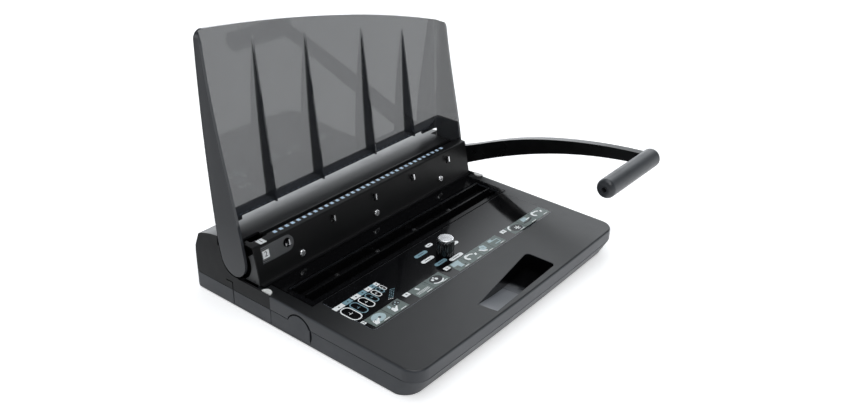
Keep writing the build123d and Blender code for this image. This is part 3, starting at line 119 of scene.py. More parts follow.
# Colours, linear
casing_colour = (0.046, 0.05, 0.058)
# Deck top: a much darker colour than its casing plastic, painted shade for the dim light from above
deck_top_painted_shade = (0.004, 0.0043, 0.005)
# Finger scoop's ramp: lighter than the deck plastic, a painted highlight where the ramp catches light
scoop_ramp_highlight = (0.13, 0.137, 0.15)
# Polished black plastic, also laid on the scoop's walls and deep part as painted shade
gloss_black_and_scoop_shade = (0.003, 0.003, 0.0034)
housing_black = (0.012, 0.012, 0.013)
satin_black = (0.004, 0.004, 0.0044)
lever_black = (0.005, 0.005, 0.0055)
grip_black = (0.036, 0.039, 0.044)
knob_black = (0.008, 0.008, 0.009)
rubber_black = (0.02, 0.02, 0.02)
smoke_grey = (0.036, 0.039, 0.046)
arm_grey = (0.039, 0.042, 0.048)
cap_grey = (0.09, 0.092, 0.095)
dust_grey = (0.35, 0.35, 0.35)
steel_grey = (0.56, 0.56, 0.57)
ground_grey = (0.4, 0.4, 0.41)
silver_grey = (0.85, 0.85, 0.86)
pad_white = (0.72, 0.72, 0.7)
bush_white = (0.5, 0.5, 0.48)
mark_blue = (0.6, 0.78, 1.0)
hatch_black = (0.006, 0.006, 0.0065)
hatch_grey = (0.3, 0.31, 0.32)
print_white = (0.88, 0.9, 0.9)
print_blue = (0.2, 0.34, 0.4)
print_pale = (0.42, 0.54, 0.57)
print_edge = (0.2, 0.22, 0.25)
print_tile = (0.13, 0.165, 0.155)
print_dark = (0.012, 0.014, 0.016)

# Places of the Mix node's sockets, whose names repeat for each kind of value
mix_factor = 0
mix_numbers = (2, 3)
mix_colours = (6, 7)
mix_number_out = 0
mix_colour_out = 2


# Node helpers

def empty_tree(owner):
    """The node tree of a new material or world, without the nodes that it starts with."""
    owner.use_nodes = True
    owner.node_tree.nodes.clear()
    return owner.node_tree


def new_material(name):
    material = bpy.data.materials.new(name)
    tree = empty_tree(material)
    out = tree.nodes.new("ShaderNodeOutputMaterial")
    shader = tree.nodes.new("ShaderNodeBsdfPrincipled")
    tree.links.new(shader.outputs[0], out.inputs[0])
    return material, tree, shader


def place_of(tree, stretch=(1, 1, 1)):
    """A point's own place in the piece, stretched along the axes, for a noise."""
    coords = tree.nodes.new("ShaderNodeTexCoord")
    mapping = tree.nodes.new("ShaderNodeMapping")
    mapping.inputs["Scale"].default_value = stretch
    tree.links.new(coords.outputs["Object"], mapping.inputs["Vector"])
    return mapping.outputs[0]


def split_of(tree, kind):
    """X, Y and Z of one output of the Texture Coordinate node."""
    coords = tree.nodes.new("ShaderNodeTexCoord")
    split = tree.nodes.new("ShaderNodeSeparateXYZ")
    tree.links.new(coords.outputs[kind], split.inputs[0])
    return split.outputs


def noise(tree, place, grain, detail=4.0, rough=0.55):
    node = tree.nodes.new("ShaderNodeTexNoise")
    node.inputs["Scale"].default_value = 1 / grain
    node.inputs["Detail"].default_value = detail
    node.inputs["Roughness"].default_value = rough
    tree.links.new(place, node.inputs["Vector"])
    return node.outputs["Fac"]


def ranged(tree, value, low, high, source=(0.3, 0.7)):
    """Low to high, while the value goes through the source range. Noise mostly stays in 0.3 to 0.7."""
    node = tree.nodes.new("ShaderNodeMapRange")
    node.inputs["From Min"].default_value = source[0]
    node.inputs["From Max"].default_value = source[1]
    node.inputs["To Min"].default_value = low
    node.inputs["To Max"].default_value = high
    tree.links.new(value, node.inputs["Value"])
    return node.outputs[0]


def fill(tree, socket, value):
    """Link a socket to a node's output, or set it where the value is a plain one."""
    if isinstance(value, bpy.types.NodeSocket):
        tree.links.new(value, socket)
    else:
        socket.default_value = value


def maths(tree, how, a, b=0.0):
    node = tree.nodes.new("ShaderNodeMath")
    node.operation = how
    fill(tree, node.inputs[0], a)
    fill(tree, node.inputs[1], b)
    return node.outputs[0]


def plus(tree, a, b):
    return maths(tree, "ADD", a, b)


def minus(tree, a, b):
    return maths(tree, "SUBTRACT", a, b)


def times(tree, a, b):
    return maths(tree, "MULTIPLY", a, b)


def larger(tree, a, b):
    return maths(tree, "MAXIMUM", a, b)


def window(tree, value, edges):
    """1 between the two inner edges, fading to 0 at the two outer ones."""
    rise = ranged(tree, value, 0, 1, edges[:2])
    fall = ranged(tree, value, 1, 0, edges[2:])
    return times(tree, rise, fall)


def facing(tree, axis, edges):
    """1 where the surface faces along an axis of the machine, either way, and 0 elsewhere."""
    return ranged(tree, maths(tree, "ABSOLUTE", split_of(tree, "Normal")[axis]), 0, 1, edges)


def blended(tree, value, colour_a, colour_b):
    node = tree.nodes.new("ShaderNodeMix")
    node.data_type = "RGBA"
    for socket, colour in zip(mix_colours, (colour_a, colour_b)):
        fill(tree, node.inputs[socket], (*colour, 1) if isinstance(colour, tuple) else colour)
    tree.links.new(value, node.inputs[mix_factor])
    return node.outputs[mix_colour_out]


def shade(colour, factor):
    return tuple(min(1.0, part * factor) for part in colour)


def clouded(tree, value, colour, low, high):
    """The colour, between two shades of it."""
    return blended(tree, ranged(tree, value, 0, 1), shade(colour, low), shade(colour, high))


def painted(tree, shader, colour, rough, specular=0.5):
    shader.inputs["Specular IOR Level"].default_value = specular
    tree.links.new(colour, shader.inputs["Base Color"])
    tree.links.new(rough, shader.inputs["Roughness"])


def bumped(tree, shader, height, strength, depth):
    node = tree.nodes.new("ShaderNodeBump")
    node.inputs["Strength"].default_value = strength
    node.inputs["Distance"].default_value = depth
    tree.links.new(height, node.inputs["Height"])
    tree.links.new(node.outputs[0], shader.inputs["Normal"])
    return node


# Materials

def moulded(name, colour, rough=(0.42, 0.55), strength=0.25, specular=0.5, cloud=0.08,
            top=None, side=None, scoop=False):
    """Moulded plastic: a fine sparked grain, faint clouds of colour and handled, slicker patches.
    The top faces can take a darker colour, painted shade; the ends are matt, with a darker colour that
    is also painted shade; the scoop is polished, with a lighter ramp as a painted highlight and black
    painted shade on its walls and deep part."""
    material, tree, shader = new_material(name)
    place = place_of(tree)
    clouds = noise(tree, place, grain=40 * MM, detail=5)
    fine = noise(tree, place, grain=0.5 * MM, detail=2)
    smudges = noise(tree, place, grain=18 * MM, detail=6, rough=0.65)
    paint = clouded(tree, clouds, colour, low=1 - cloud, high=1 + cloud)
    slick = ranged(tree, smudges, *rough)
    # A darker colour on the top faces is painted shade
    if top:
        paint = blended(tree, facing(tree, "Z", top_facing), paint, top)
    # The ends' matt finish is real; their darker colour is painted shade
    if side:
        ends = facing(tree, "X", end_facing)
        paint = blended(tree, ends, paint, side)
        slick = plus(tree, slick, times(tree, ends, end_matt))
    if scoop:
        # The scoop's lighter ramp is a painted highlight, and the black on its walls and deep part
        # painted shade
        inside, deep = scoop_masks(tree)
        paint = blended(tree, inside, paint, blended(tree, deep, scoop_ramp_highlight, gloss_black_and_scoop_shade))
        slick = times(tree, slick, plus(tree, minus(tree, 1.0, deep), scoop_gloss))
        fine = times(tree, fine, minus(tree, 1.0, inside))
    painted(tree, shader, paint, slick, specular)
    bumped(tree, shader, fine, strength, depth=0.06 * MM)
    return material


def scoop_masks(tree):
    """Two masks: 1 all over the finger scoop, and 1 on its walls and the deep part of its ramp, where
    the colour turns black as painted shade.
    """
    x, y, z = split_of(tree, "Object")
    rise = times(tree, minus(tree, y, punch_y), deck_slope)
    above_deck = minus(tree, minus(tree, z, deck_zero), rise)
    inside = ranged(tree, above_deck, 1, 0, scoop_edge)
    for place, edges in ((x, scoop_x), (y, scoop_y)):
        inside = times(tree, inside, window(tree, place, edges))
    sunk = ranged(tree, above_deck, 1, 0, scoop_shade_depths)
    walls = minus(tree, 1.0, facing(tree, "Z", side_facing))
    return inside, times(tree, inside, larger(tree, sunk, walls))


def polished(name, colour):
    """Polished black plastic or foil: almost flat, with fingered haze and a little dust."""
    material, tree, shader = new_material(name)
    place = place_of(tree)
    haze = noise(tree, place, grain=25 * MM, detail=6, rough=0.7)
    waves = noise(tree, place, grain=60 * MM, detail=2)
    specks = noise(tree, place, grain=0.9 * MM, detail=1)
    dust = ranged(tree, specks, low=0, high=0.08, source=(0.71, 0.78))
    slick = ranged(tree, haze, low=0.05, high=0.12)
    painted(tree, shader, blended(tree, dust, colour, dust_grey), slick)
    bumped(tree, shader, waves, strength=0.05, depth=0.4 * MM)
    return material


def coated(name, colour, rough=(0.3, 0.42), strength=0.22, specular=0.5):
    """Powder coat on steel: orange peel, slicker rubbed patches and a few pale scuffs."""
    material, tree, shader = new_material(name)
    place = place_of(tree)
    peel = noise(tree, place, grain=0.9 * MM, detail=3)
    rubbed = noise(tree, place, grain=22 * MM, detail=6, rough=0.65)
    scuffs = noise(tree, place_of(tree, (1, 6, 6)), grain=7 * MM, detail=8, rough=0.75)
    worn = ranged(tree, scuffs, low=0, high=0.5, source=(0.66, 0.78))
    paint = blended(tree, worn, colour, shade(colour, factor=3.2))
    painted(tree, shader, paint, ranged(tree, rubbed, *rough), specular)
    bumped(tree, shader, peel, strength, depth=0.05 * MM)
    return material


def metal(name, colour, rough=(0.22, 0.36), stretch=(1, 1, 1)):
    """Bare metal with fine lines, longer along an axis with a small stretch, and dull spots."""
    material, tree, shader = new_material(name)
    lines = noise(tree, place_of(tree, stretch), grain=0.6 * MM, detail=3)
    spots = noise(tree, place_of(tree), grain=9 * MM, detail=5, rough=0.65)
    shader.inputs["Metallic"].default_value = 1.0
    dull = ranged(tree, times(tree, lines, spots), *rough, source=(0.1, 0.5))
    painted(tree, shader, clouded(tree, spots, colour, low=0.8, high=1.1), dull)
    bumped(tree, shader, lines, strength=0.15, depth=0.03 * MM)
    return material


def printed(name, colour):
    """Ink on a smooth foil: slightly uneven cover."""
    material, tree, shader = new_material(name)
    place = place_of(tree)
    patchy = noise(tree, place, grain=1.6 * MM)
    haze = noise(tree, place, grain=15 * MM, detail=5)
    slick = ranged(tree, haze, low=0.25, high=0.4)
    paint = clouded(tree, patchy, colour, low=0.88, high=1.06)
    painted(tree, shader, paint, slick, specular=0.4)
    bumped(tree, shader, patchy, strength=0.05, depth=0.02 * MM)
    return material


def hatched(name, colour, line_colour, pitch):
    """Printed foil with fine slanting lines, worn a little along them."""
    material, tree, shader = new_material(name)
    x, y, z = split_of(tree, "Object")
    slant = times(tree, plus(tree, x, z), 2 * math.pi / pitch)
    lines = ranged(tree, maths(tree, "SINE", slant), 0, 1, source=(0.2, 0.9))
    patchy = noise(tree, place_of(tree), grain=2 * MM)
    worn = times(tree, lines, ranged(tree, patchy, low=0.7, high=1))
    slick = ranged(tree, patchy, low=0.3, high=0.45)
    painted(tree, shader, blended(tree, worn, colour, line_colour), slick)
    bumped(tree, shader, patchy, strength=0.05, depth=0.02 * MM)
    return material


def rubber(name, colour):
    """Rubber: a coarse grain and blotches."""
    material, tree, shader = new_material(name)
    place = place_of(tree)
    fine = noise(tree, place, grain=0.6 * MM, detail=3)
    clouds = noise(tree, place, grain=6 * MM)
    slick = ranged(tree, clouds, low=0.7, high=0.9)
    painted(tree, shader, clouded(tree, clouds, colour, low=0.7, high=1.5), slick)
    bumped(tree, shader, fine, strength=0.4, depth=0.1 * MM)
    return material


def cover_masks(tree):
    """Two masks of the smoked cover: 1 on its arms, and how solid each place of it looks."""
    x, y, z = split_of(tree, "Object")
    across = maths(tree, "ABSOLUTE", minus(tree, x, middle_x))
    arms = ranged(tree, across, 0, 1, (arm_inner - cover_fade, arm_inner))
    ledge = ranged(tree, z, 1, 0, (ledge_top, ledge_top + cover_fade))
    between_arms = maths(tree, "LESS_THAN", across, rib_outer)
    ribs = times(tree, facing(tree, "X", side_facing), between_arms)
    edges = facing(tree, "Z", side_facing)
    thick = larger(tree, larger(tree, ribs, ledge), edges)
    solid = plus(tree, times(tree, thick, thick_alpha - panel_alpha), panel_alpha)
    arm_solid = ranged(tree, x, *arm_alphas, source=(middle_x - MM, middle_x + MM))
    return arms, larger(tree, solid, times(tree, arms, arm_solid))


def smoked(name, colour, arm_colour):
    """Smoked see-through plastic: the arms, ribs, ledge and edges, where the light passes through
    more plastic, are closer to solid. The flat panel mirrors as one that is bowed a little."""
    material, tree, shader = new_material(name)
    place = place_of(tree)
    haze = noise(tree, place, grain=45 * MM, detail=5, rough=0.6)
    waves = noise(tree, place, grain=70 * MM, detail=2)
    arms, solid = cover_masks(tree)
    paint = clouded(tree, haze, colour, low=0.93, high=1.08)
    slick = ranged(tree, haze, low=0.03, high=0.07)
    painted(tree, shader, blended(tree, arms, paint, arm_colour), slick)
    tree.links.new(solid, shader.inputs["Alpha"])
    relief = bumped(tree, shader, waves, strength=0.04, depth=0.3 * MM)
    bow = tree.nodes.new("ShaderNodeVectorMath")
    bow.inputs[1].default_value = (0, 0, panel_bow)
    tree.links.new(tree.nodes.new("ShaderNodeNewGeometry").outputs["Normal"], bow.inputs[0])
    tree.links.new(bow.outputs[0], relief.inputs["Normal"])
    return material


casing = moulded("casing", casing_colour)
# The deck's top faces take a darker colour, painted shade
casing_deck = moulded("casing_deck", casing_colour, rough=(0.32, 0.37), strength=0.08, cloud=0.05,
                      top=deck_top_painted_shade, scoop=True)
# Housing: matt ends like the casing plastic, in a much darker copy of its colour, painted shade
housing = moulded("housing", housing_black, rough=(0.3, 0.38), strength=0.04,
                  side=shade(casing_colour, factor=0.15))
grip = moulded("grip_finish", grip_black, rough=(0.3, 0.4), strength=0.1)
cap = moulded("cap_finish", cap_grey)
knob = moulded("knob_black", knob_black, rough=(0.1, 0.16), strength=0.04, specular=0.9)
pad = moulded("pad_white", pad_white, rough=(0.45, 0.6))
bush = moulded("bush_white", bush_white)
gloss = polished("gloss", gloss_black_and_scoop_shade)
smoke = smoked("smoke", smoke_grey, arm_grey)
plate = coated("black_plate", satin_black, specular=0.2)
jaw = coated("jaw_finish", satin_black, rough=(0.22, 0.34), specular=0.2)
lever = coated("lever_finish", lever_black, rough=(0.25, 0.36), strength=0.12)
bright = metal("bright", steel_grey)
ground = metal("ground", ground_grey, stretch=(0.05, 1, 1))
silver = metal("silver", silver_grey, rough=(0.2, 0.3))
foot = rubber("foot_rubber", rubber_black)
marks = printed("marks", mark_blue)
label = printed("label", print_white)
patch = hatched("patch", hatch_black, hatch_grey, pitch=2.6 * MM)

finishes = (
    (casing, "lower_shell", "chip_tray"),
    (casing_deck, "deck_shell"),
    (housing, "rear_housing"),
    (grip, "lever_grip"),
    (cap, "bar_cap_left", "bar_cap_right"),
    (knob, "knob_body"),
    (pad, "cover_bumpers"),
    (bush, "shaft_bushes", "selector_cam"),
    (gloss, "closer_plate", "closer_bed", "instruction_panel"),
    (smoke, "cover"),
    (plate, "front_plate", "guide_plate", "rear_guide", "end_plate_left", "end_plate_right"),
    (jaw, "fixed_jaw", "moving_jaw", "closer_links"),
    (lever, "lever_arm"),
    (bright, "punch_pins", "punch_rockers", "drive_shaft", "roll_pins", "closer_cranks", "grip_core",
     "lever_screw", "jaw_screws", "base_screws", "hinge_pins", "selector_shaft", "stop_slide"),
    (ground, "die_plate", "paper_stop", "plate_beam", "pressure_bar"),
    (silver, "plate_screws", "wire_hooks", "knob_cap"),
    (foot, "rubber_feet"),
    (marks, "hole_marks"),
    (label, "step_labels"),
    (patch, "hatch_patch"),
)


def assign(material, node_name):
    """Give a node one material, in each slot that its faces use."""
    slots = nodes[node_name].data.materials
    if not slots:
        slots.append(material)
    for k in range(len(slots)):
        slots[k] = material


for material, *node_names in finishes:
    for node_name in node_names:
        assign(material, node_name)


# Pieces

def add_piece(name, data):
    piece = bpy.data.objects.new(name, data)
    bpy.context.scene.collection.objects.link(piece)
    return piece


def mesh_data(name, mesh, material):
    """A finished bmesh as mesh data with one material."""
    data = bpy.data.meshes.new(name)
    mesh.to_mesh(data)
    mesh.free()
    data.materials.append(material)
    return data


# Printed art on the instruction panel

panel_low, panel_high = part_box("instruction_panel")
panel_x0 = (panel_low.x - middle_x) / MM
panel_x1 = (panel_high.x - middle_x) / MM
panel_y0 = (panel_low.y - punch_y) / MM
panel_y1 = (panel_high.y - punch_y) / MM
print_sink = 0.02


def panel_z(y):
    return panel_high.z + deck_slope * (y - panel_high.y)


def arc(x, y, radius_x, radius_y, first, last, steps):
    """Points along part of an ellipse, between two turns in degrees."""
    angles = [math.radians(first + (last - first) * k / steps) for k in range(steps + 1)]
    return [(x + radius_x * math.cos(angle), y + radius_y * math.sin(angle)) for angle in angles]


def oval(x0, x1, y0, y1, steps=9):
    """A closed line round an upright loop."""
    radius = (x1 - x0) / 2
    x = (x0 + x1) / 2
    points = arc(x, y1 - radius, radius, radius, 0, 180, steps)
    points += arc(x, y0 + radius, radius, radius, 180, 360, steps)
    return points + points[:1]


def moved(points, x, y):
    return [(x + point_x, y + point_y) for point_x, point_y in points]


class Print:
    """Ink of one colour: flat closed shapes that start in the panel and end a hair above it."""

    def __init__(self, name, material, slot, lift):
        self.name = name
        self.material = material
        self.slot = slot
        self.lift = lift
        self.mesh = bmesh.new()

    def point(self, x, y, up):
        place_y = punch_y + y * MM
        return self.mesh.verts.new((middle_x + x * MM, place_y, panel_z(place_y) + up * MM))

    def shape(self, outline):
        low = [self.point(x, y, -print_sink) for x, y in outline]
        high = [self.point(x, y, self.lift) for x, y in outline]
        self.mesh.faces.new(high)
        self.mesh.faces.new(low[::-1])
        for k in range(len(outline)):
            n = (k + 1) % len(outline)
            self.mesh.faces.new((low[k], low[n], high[n], high[k]))

    def rectangle(self, x0, x1, y0, y1, lean=0.0):
        shift = lean * (y1 - y0)
        self.shape([(x0, y0), (x1, y0), (x1 + shift, y1), (x0 + shift, y1)])

    def pill(self, x, y, width, depth, steps=8):
        radius = depth / 2
        half = width / 2 - radius
        right = arc(x + half, y, radius, radius, -90, 90, steps)
        left = arc(x - half, y, radius, radius, 90, 270, steps)
        self.shape(right + left)

    def disc(self, x, y, radius_x, radius_y=None, steps=20):
        self.shape(arc(x, y, radius_x, radius_y or radius_x, 0, 360 - 360 / steps, steps - 1))

    def line(self, points, width):
        """A band of one width along the points, closed where the first point is the last."""
        closed = points[0] == points[-1]
        path = points[:-1] if closed else points
        count = len(path)
        rings = []
        for k, (x, y) in enumerate(path):
            before = path[(k - 1) % count] if closed or k else path[k]
            after = path[(k + 1) % count] if closed or k < count - 1 else path[k]
            dx, dy = after[0] - before[0], after[1] - before[1]
            length = math.hypot(dx, dy) or 1.0
            nx, ny = -dy / length * width / 2, dx / length * width / 2
            rings.append([self.point(x + nx, y + ny, -print_sink),
                          self.point(x + nx, y + ny, self.lift),
                          self.point(x - nx, y - ny, self.lift),
                          self.point(x - nx, y - ny, -print_sink)])
        for k in range(count if closed else count - 1):
            a, b = rings[k], rings[(k + 1) % count]
            for i in range(4):
                j = (i + 1) % 4
                self.mesh.faces.new((a[i], a[j], b[j], b[i]))
        if not closed:
            self.mesh.faces.new(rings[0][::-1])
            self.mesh.faces.new(rings[-1])

    def finish(self):
        bmesh.ops.recalc_face_normals(self.mesh, faces=self.mesh.faces[:])
        piece = add_piece(self.name, mesh_data(self.name, self.mesh, self.material))
        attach(piece, "root")


white_ink = printed("print_white", print_white)
blue_ink = printed("print_blue", print_blue)
pale_ink = printed("print_pale", print_pale)
tile_ink = printed("print_tile", print_tile)
edge_ink = printed("print_edge", print_edge)
dark_ink = printed("print_dark", print_dark)

# The layers from low to high, so that no two tops lie in one plane where they cross
tiles = Print("panel_tiles", tile_ink, "panel_gloss", lift=0.03)
edge = Print("panel_edge", edge_ink, "panel_gloss", lift=0.03)
dark = Print("panel_dark", dark_ink, "panel_gloss", lift=0.045)
blue = Print("panel_blue", blue_ink, "mark_blue", lift=0.055)
pale = Print("panel_pale", pale_ink, "mark_blue", lift=0.06)
white = Print("panel_white", white_ink, "label_white", lift=0.07)
ink = Print("panel_ink", dark_ink, "panel_gloss", lift=0.085)


def panel_outline():
    """A thin line along the front and the rounded left corner of the panel."""
    inset = 0.5
    radius = 4.6
    back_gap = 4.0
    right_gap = 1.5
    corner = arc(panel_x0 + inset + radius, panel_y0 + inset + radius, radius, radius, 180, 270, 8)
    start = (panel_x0 + inset, panel_y1 - back_gap)
    end = (panel_x1 - right_gap, panel_y0 + inset)
    edge.line([start, *corner, end], width=0.3)


panel_outline()

# Instruction tiles in groups, each given by its left end, the width of a tile and their number,
# with a box for a step's number before each group
tile_y0, tile_y1 = -151.2, -134.6
tile_y = (tile_y0 + tile_y1) / 2
tile_groups = ((-151.8, 25.3, 2), (-85.2, 25.4, 2), (-18.2, 21.9, 4), (86.8, 24.4, 3))
tile_gap = 0.5
tile_places = [(x + k * width, width) for x, width, count in tile_groups for k in range(count)]
box_depth = 5.6
box_reach = 9.0
box_gap = 0.8
box_least_x = panel_x0 + 1.4
number_boxes = [(max(x - box_reach, box_least_x), x - box_gap) for x, width, count in tile_groups]

# Small lettering as a plain bar: its start and length in parts of a tile's width, and its depth
caption_start = 0.52
caption_length = 0.32
caption_depth = 0.9

for x0, x1 in number_boxes:
    white.rectangle(x0, x1, tile_y1 - box_depth, tile_y1)
for x, width in tile_places:
    tiles.rectangle(x, x + width - tile_gap, tile_y0, tile_y1)
    caption_x = x + width * caption_start
    caption_y = tile_y0 + caption_depth
    white.rectangle(caption_x, caption_x + width * caption_length, caption_y, caption_y + caption_depth)


# Generic drawings, each from the left end and the middle height of its tile

def hand(x, y):
    """A pointing hand."""
    white.shape(moved([(-3.2, -3.6), (1.2, -4.4), (3.4, -1.6), (6.8, 1.8),
                       (5.9, 2.9), (1.8, 0.6), (0.6, 3.2), (-2.4, 2.4)], x, y))


def dial_tile(x, y):
    """A hand at a round dial."""
    pale.disc(x + 13.5, y + 0.8, 8.6, 6.6)
    hand(x + 6.5, y - 2.2)
    ink.disc(x + 14.5, y + 0.2, 1.6)
    ink.line(moved([(5, -1.2), (9.5, 1.2)], x, y), width=0.5)


def reel_tile(x, y):
    """A hand with a strip, and a dark reel with three spots."""
    pale.rectangle(x + 6, x + 9, y + 2, y + 6.4, lean=0.2)
    hand(x + 9, y - 1.6)
    dark.disc(x + 18, y + 4.2, 5.2, 3.6)
    for spot_x, spot_y in moved([(15.4, 3.4), (18.6, 5.6), (20.0, 2.8)], x, y):
        pale.disc(spot_x, spot_y, 0.9)


def comb_tile(x, y):
    """A row of wire loops with a narrow blade above it."""
    loops = 9
    pitch = 2.1
    for k in range(loops):
        loop_x = x + 3 + pitch * k
        white.line(oval(loop_x, loop_x + 1.5, y - 4.4, y - 0.8, steps=4), width=0.4)
    white.shape(moved([(8, 6.2), (9.8, 1.2), (12.4, 2.2), (10.8, 6.6)], x, y))


def plate_tile(x, y):
    """Three spots on a dark plate with a bright front rim."""
    dark.disc(x + 12.5, y + 1.4, 8.6, 6.0)
    for spot_x, spot_y, radius in ((8.5, 2.6, 1.7), (13.5, 1.6, 1.9), (12.0, 4.8, 1.2)):
        white.disc(x + spot_x, y + spot_y, radius)
    white.line(arc(x + 12.5, y + 0.6, 8.4, 6.2, 205, 325, 10), width=1.7)


def stack_tile(x, y):
    """A sheet on a block, with a bent dark line before them."""
    pale.shape(moved([(1.5, 1.0), (14.5, 0.5), (16.0, 7.0), (3.0, 7.4)], x, y))
    pale.rectangle(x + 8, x + 14, y - 4.4, y + 0.6)
    dark.line(moved([(4, -1), (8, -4.4), (18, -3.4)], x, y), width=1.0)


def hook_tile(x, y):
    """A thick hook with an arm and a foot."""
    white.line(arc(x + 6.5, y + 1.6, 3.6, 3.6, 60, 260, 10), width=3.0)
    white.line(moved([(8, 4.6), (12, 4.8), (15.6, 2.6)], x, y), width=2.0)
    white.rectangle(x + 15.6, x + 18.6, y - 1.4, y + 2.0, lean=0.4)


def bracket_tile(x, y):
    """A leaning sheet with a stroke on it, held by a white bracket."""
    pale.shape(moved([(7, -3.8), (15, -1.4), (16.5, 5.0), (10.5, 6.8), (6.5, 2.0)], x, y))
    ink.line(moved([(9.5, 3.6), (13.5, 1.0)], x, y), width=0.5)
    white.line(moved([(4.5, 2.4), (7.5, -2.6), (12, -4.6)], x, y), width=2.2)


def frame_tile(x, y):
    """A small sheet beside an open frame."""
    pale.shape(moved([(3, 2.6), (9, 2.0), (10, 6.4), (4, 6.8)], x, y))
    pale.line(moved([(7, -3.4), (16, -3.8), (17, 2.4), (9, 2.8)], x, y), width=1.3)


def star_tile(x, y):
    """A star of three strokes on a dark disc, with an arc beside it."""
    dark.disc(x + 13.5, y - 0.8, 8.4, 6.4)
    white.line(arc(x + 9, y + 1.2, 5.4, 5.6, 80, 190, 8), width=2.2)
    for turn in (10, 70, 130):
        dx = 4.2 * math.cos(math.radians(turn))
        dy = 3.8 * math.sin(math.radians(turn))
        white.line(moved([(-dx, -dy), (dx, dy)], x + 14.5, y - 1.2), width=1.3)


def strip_tile(x, y):
    """A sheet over a long dark strip, with a white bar on it."""
    pale.shape(moved([(5, 0.4), (17, 1.0), (15.5, 6.6), (7, 7.0)], x, y))
    dark.line(moved([(3, -1.6), (12, -2.4), (21, -0.2)], x, y), width=2.2)
    white.line(moved([(12, 1.2), (19, 1.8)], x, y), width=1.6)


drawings = (dial_tile, reel_tile, comb_tile, plate_tile, stack_tile, hook_tile,
            bracket_tile, frame_tile, star_tile, strip_tile, hook_tile)
for draw, (x, width) in zip(drawings, tile_places):
    draw(x, tile_y)

# Chart of ring sizes: loops that get smaller, each given by its two sides, its foot and whether it
# is white, with a box above it. A wider loop has a thicker line.
chart_rings = ((-157.8, -145.4, -130.0, True), (-143.6, -134.0, -127.0, False),
               (-131.2, -122.2, -125.4, True), (-120.6, -113.4, -122.4, False),
               (-111.4, -105.0, -118.8, True), (-103.8, -99.0, -116.6, False),
               (-97.8, -94.0, -115.0, True))
ring_top = -106.2
ring_line = 0.7425
ring_line_growth = 1.35 / 26
strip_y0, strip_y1 = -104.6, -98.4
strip_box_left = 0.7
strip_box_right = 0.5
strip_mark_half = 0.9
strip_mark_inset = 2.2


def chart_ring(art, x0, x1, y0):
    """A loop with a small cross-bar and stem inside, and its box in the strip above."""
    width = x1 - x0
    x = (x0 + x1) / 2
    y = (y0 + ring_top) / 2
    bar_half = width * 0.2
    stem = width * 0.25
    art.line(oval(x0, x1, y0, ring_top), width=ring_line + ring_line_growth * width)
    art.line([(x - bar_half, y), (x + bar_half, y)], width=0.7)
    art.line([(x, y), (x, y + stem)], width=0.5)
    art.rectangle(x0 - strip_box_left, x1 + strip_box_right, strip_y0, strip_y1)
    ink.rectangle(x - strip_mark_half, x + strip_mark_half,
                  strip_y0 + strip_mark_inset, strip_y1 - strip_mark_inset)


for x0, x1, y0, is_white in chart_rings:
    chart_ring(white if is_white else blue, x0, x1, y0)


def stepped_table():
    """Short rows of three cells that climb to the right beside the chart, the first one white."""
    rows, cells = 7, 3
    start_x, start_y = -108.6, -129.6
    row_x, row_y = 2.35, 1.75
    cell_x, cell_y = 1.9, -0.9
    cell_width, cell_depth = 1.3, 0.8
    for row in range(rows):
        art = blue if row else white
        for cell in range(cells):
            x = start_x + row_x * row + cell_x * cell
            y = start_y + row_y * row + cell_y * cell
            art.rectangle(x, x + cell_width, y, y + cell_depth)


stepped_table()

# Size marks round the knob: middle, width and whether the mark is white, each with a dark bar
pills = ((1.5, -93.0, 10.5, True), (-19.5, -98.6, 20.0, False), (-23.0, -111.0, 20.0, True),
         (-18.0, -125.0, 19.0, False), (2.4, -130.4, 22.0, True), (20.5, -111.4, 19.0, True))
pill_depth = 5.4
pill_bar_half = 0.24
pill_bar_depth = 0.9
for x, y, width, is_white in pills:
    art = white if is_white else blue
    art.pill(x, y, width, pill_depth)
    ink.rectangle(x - width * pill_bar_half, x + width * pill_bar_half,
                  y - pill_bar_depth / 2, y + pill_bar_depth / 2)

for art in (tiles, edge, dark, blue, pale, white, ink):
    art.finish()

# Step numbers: 3 and up in the panel's boxes, 1 flat on the lip and 2 on the leaning front plate
digit_thick = 0.06 * MM
step_digit_size = 5 * MM
step_digit_lift = 0.05 * MM
label_digit_size = 8 * MM
label_digit_lift = 0.02 * MM
lip_label_x, lip_label_y = -162.7 * MM, -4.3 * MM
plate_label_x = -163.5 * MM
plate_label_up = 4.3 * MM
plate_lean = 0.2044


def digit(name, text, size, place, turn):
    """A number as a flat closed mesh, made from a text curve."""
    curve = bpy.data.curves.new(name, "FONT")
    curve.body = text
    curve.size = size
    curve.align_x = "CENTER"
    curve.align_y = "CENTER"
    curve.extrude = digit_thick
    holder = add_piece(name + "_curve", curve)
    bpy.context.view_layer.update()
    data = bpy.data.meshes.new_from_object(holder)
    bpy.data.objects.remove(holder)
    data.materials.clear()
    data.materials.append(dark_ink)
    piece = add_piece(name, data)
    piece.matrix_world = Matrix.Translation(place) @ turn
    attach(piece, "root")


flat = Matrix.Identity(4)
along_plate = Matrix.Rotation(math.atan2(1, plate_lean), 4, "X")
for step, (x0, x1) in enumerate(number_boxes, start=3):
    x = middle_x + (x0 + x1) / 2 * MM
    y = punch_y + (tile_y1 - box_depth / 2) * MM
    place = (x, y, panel_z(y) + step_digit_lift)
    digit(f"step_digit_{step}", str(step), step_digit_size, place, flat)

label_low, label_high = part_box("step_labels")
place = (middle_x + lip_label_x, punch_y + lip_label_y, label_high.z + label_digit_lift)
digit("lip_digit", "1", label_digit_size, place, flat)
plate_y = label_low.y + plate_lean * plate_label_up
place = (middle_x + plate_label_x, plate_y - label_digit_lift, label_low.z + plate_label_up)
digit("plate_digit", "2", label_digit_size, place, along_plate)


# Floor, light and camera

